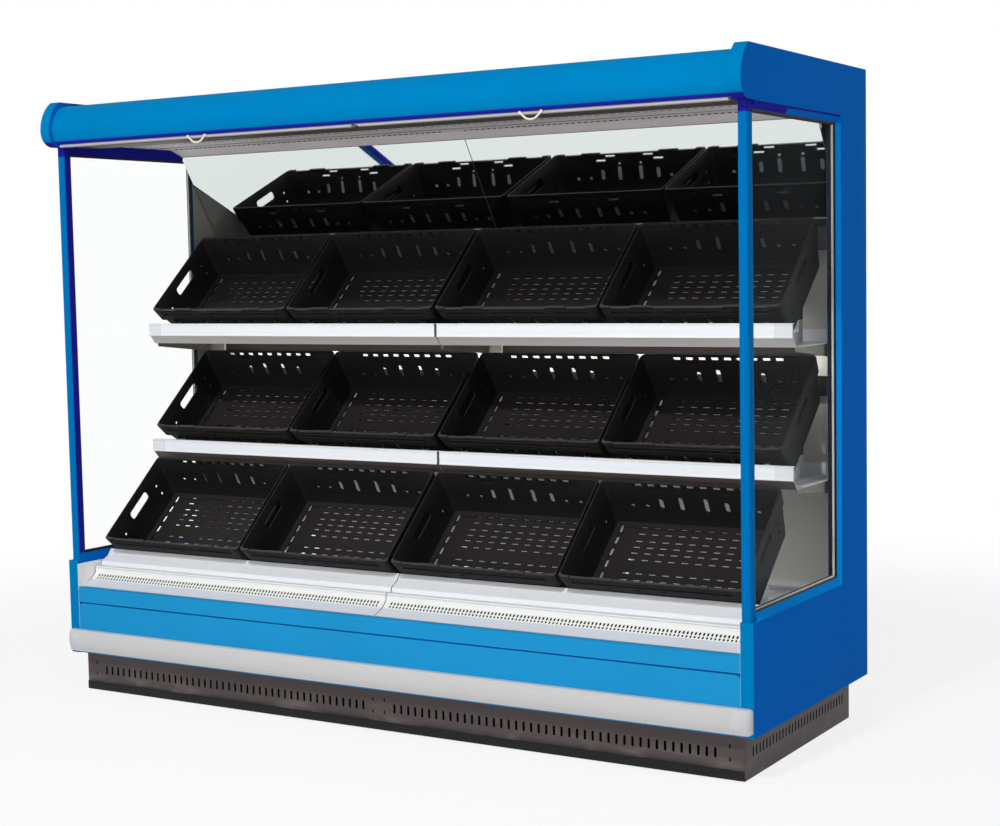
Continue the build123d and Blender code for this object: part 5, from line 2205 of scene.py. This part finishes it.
@dataclass
class Back:
    """The insulated back, made of sheets with joints between them."""

    joints: int = 3
    joint_width: float = 0.004
    joint_depth: float = 0.0025
    joint_cut: float = 0.01
    edge: float = 0.0012
    set_in: float = 0.0016
    screw: Point = (0.0046, 0.0014)
    screw_sides: int = 12
    screw_seat: float = 0.0005
    screw_shape: tuple[Point, ...] = ((1.0, 0.45), (0.72, 0.85), (0.3, 1.0))
    screw_rows: int = 9
    screw_in: Point = (0.016, 0.050)

    def build(self) -> None:
        """Makes the back with its upright joints and the screws beside them."""
        self.screws()
        low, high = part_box("back_wall")
        face = high.y - self.set_in
        wall = Form().prism(oblong((low.x, low.y), (high.x, face)), low.z, high.z).piece("back_sheets")
        grooves = Form()
        half, cut = self.joint_width / 2, self.joint_cut
        for i in range(self.joints):
            x = low.x + (high.x - low.x) * (i + 1) / (self.joints + 1)
            outline = oblong((x - half, face - self.joint_depth), (x + half, face + cut))
            grooves.prism(outline, low.z - cut, high.z + cut)
        punch(wall, grooves)
        soften(wall, self.edge)
        settle(wall, BACK_GREY, "back_wall")

    def screws(self) -> None:
        """Round-headed screws along the upright edges of each sheet."""
        low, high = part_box("back_wall")
        radius, tall = self.screw
        width = (high.x - low.x) / (self.joints + 1)
        base = high.y - self.set_in
        inset, end = self.screw_in
        steps = [(radius, -self.screw_seat), *((radius * r, tall * up) for r, up in self.screw_shape)]
        form = Form()
        for i in range(self.joints + 1):
            for x in (low.x + i * width + inset, low.x + (i + 1) * width - inset):
                for z in spread(low.z + end, high.z - end, self.screw_rows):
                    form.loft([
                        [Vector((x + r * c, base + up, z + r * s)) for c, s in circle(self.screw_sides)]
                        for r, up in steps
                    ])
        settle(form.piece("back_screws"), STEEL)


@dataclass(frozen=True)
class Lamp:
    """A soft lamp that lights the case but isn't seen itself."""

    name: str
    place: Sequence[float]
    aim: Sequence[float]
    size: Point
    watts: float

    def build(self) -> None:
        """Sets the lamp up."""
        data = bpy.data.lights.new(self.name, "AREA")
        data.shape, data.energy = "RECTANGLE", self.watts
        data.size, data.size_y = self.size
        made = linked(self.name, data)
        made.location = self.place
        made.rotation_euler = (Vector(self.aim) - Vector(self.place)).to_track_quat("-Z", "Y").to_euler()
        made.visible_camera = made.visible_glossy = made.visible_transmission = False


@dataclass
class Studio:
    """The camera, white floor and soft light."""

    camera_place: Spot = (3.2521, -4.9353, 1.4440)
    camera_turn: Spot = (85.42978, 1.08275, 31.40495)
    lens: float = 64.714
    sensor: float = 36.0
    world_level: float = 0.30
    floor_size: float = 60.0
    floor_depth: float = 0.02
    floor_white: float = 0.82
    floor_fade: Point = (2.0, 4.5)
    floor_grey: Colour = paint(228, 228, 228)
    floor_pale: Colour = paint(250, 250, 250)
    floor_grain: Mottle = Mottle(30.0, 3.0)
    lamps: tuple[Lamp, ...] = (
        Lamp("key", (0.6, -6.6, 7.1), (0.0, 0.0, 1.2), (0.6, 0.6), 370.0),
        Lamp("front", (0.3, -6.8, 1.4), (0.0, 0.0, 0.7), (3.4, 2.4), 135.0),
        Lamp("flank", (6.6, -0.4, 2.2), (1.3, 0.0, 1.0), (2.5, 2.5), 52.0),
    )
    bay_x: float = 0.60
    rim_place: Point = (-0.025, -0.028)
    rim_size: Point = (1.15, 0.02)
    rim_watts: float = 1.2
    under_place: Point = (0.085, -0.115)
    under_size: Point = (1.0, 0.16)
    under_watts: Spot = (0.8, 0.04, 1.1)
    under_lean: Spot = (0.1, 0.9, 0.9)

    def build(self) -> None:
        """Sets up the whole studio."""
        bpy.context.scene.view_settings.view_transform = "Standard"
        self.camera()
        self.world()
        self.floor()
        for lamp in self.lamps:
            lamp.build()
        for side in Side:
            self.rim_lamp(side)
        for level, watts, lean in zip(Level, self.under_watts, self.under_lean):
            for side in Side:
                self.under_lamp(level, side, watts, lean)

    def camera(self) -> None:
        """The camera at the photograph's point of view."""
        data = bpy.data.cameras.new("camera")
        data.sensor_width, data.lens = self.sensor, self.lens
        made = linked("camera", data)
        made.location = self.camera_place
        made.rotation_euler = Euler([math.radians(a) for a in self.camera_turn])
        bpy.context.scene.camera = made

    def rim_lamp(self, side: Side) -> None:
        """Soft light behind the back rims of a bay's middle row, which shows through their slots.

        Args:
            side: The bay.
        """
        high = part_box(Level.LOWER.crate())[1]
        back, up = self.rim_place
        place = Vector((side.value * self.bay_x, high.y + back, high.z + up))
        Lamp(side.node("rim"), place, place - Vector(FRONT), self.rim_size, self.rim_watts).build()

    def under_lamp(self, level: Level, side: Side, watts: float, lean: float) -> None:
        """Soft light behind a bay's row of crates, which shows through their vents.

        Args:
            level: The row.
            side: The bay.
            watts: The lamp's power.
            lean: How far it looks to the back for each metre that it looks down.
        """
        low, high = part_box(level.crate())
        back, up = self.under_place
        place = Vector((side.value * self.bay_x, (low.y + high.y) / 2 + back, (low.z + high.z) / 2 + up))
        aim = place + Vector((0.0, lean, -1.0))
        Lamp(side.node(f"under_{level.value}"), place, aim, self.under_size, watts).build()

    def world(self) -> None:
        """A white world to look at, which lights the case at a plain level."""
        world = bpy.data.worlds.new("studio")
        world.use_nodes = True
        bpy.context.scene.world = world
        world.node_tree.nodes.clear()
        nodes = Nodes(world.node_tree)
        light, shown = (
            nodes.node("ShaderNodeBackground", None, {"Color": PURE_WHITE, "Strength": level})
            for level in (self.world_level, 1.0)
        )
        nodes.node("ShaderNodeOutputWorld", None, {"Surface": nodes.blend(nodes.seen(), light, shown)})

    def floor(self) -> None:
        """A white floor that keeps the case's shadow."""
        half = self.floor_size / 2
        floor = Form().prism(oblong((-half, -half), (half, half)), -self.floor_depth, 0.0).piece("floor")
        shader = Shader("finish_floor")
        shown = shader.seen()
        x, y, _ = shader.axes()
        away = (x * x + y * y).math("SQRT").between(*self.floor_fade)
        pale = shader.mix(shader.noise(self.floor_grain), self.floor_pale, PURE_WHITE)
        tone = shader.mix(shown, self.floor_grey, pale)
        shader.set(Base_Color=tone, Roughness=1.0, Specular_IOR_Level=0.0)
        white = shader.node("ShaderNodeEmission", None, {"Color": PURE_WHITE, "Strength": 1.0})
        share = shown * (away * (1 - self.floor_white) + self.floor_white)
        shader.surface(shader.blend(share, shader.main, white))
        floor.data.materials.append(shader.material)


ASSEMBLIES = (Studio, Ends, Canopy, NightBlinds, Shelving, Crates, Deck, Base, Cooling, Back)


def main() -> None:
    """Builds every sub-assembly in order."""
    logging.basicConfig(level=logging.INFO, format="%(message)s")
    for assembly in ASSEMBLIES:
        LOG.info("building %s", assembly.__name__)
        assembly().build()


if __name__ == "__main__":
    main()
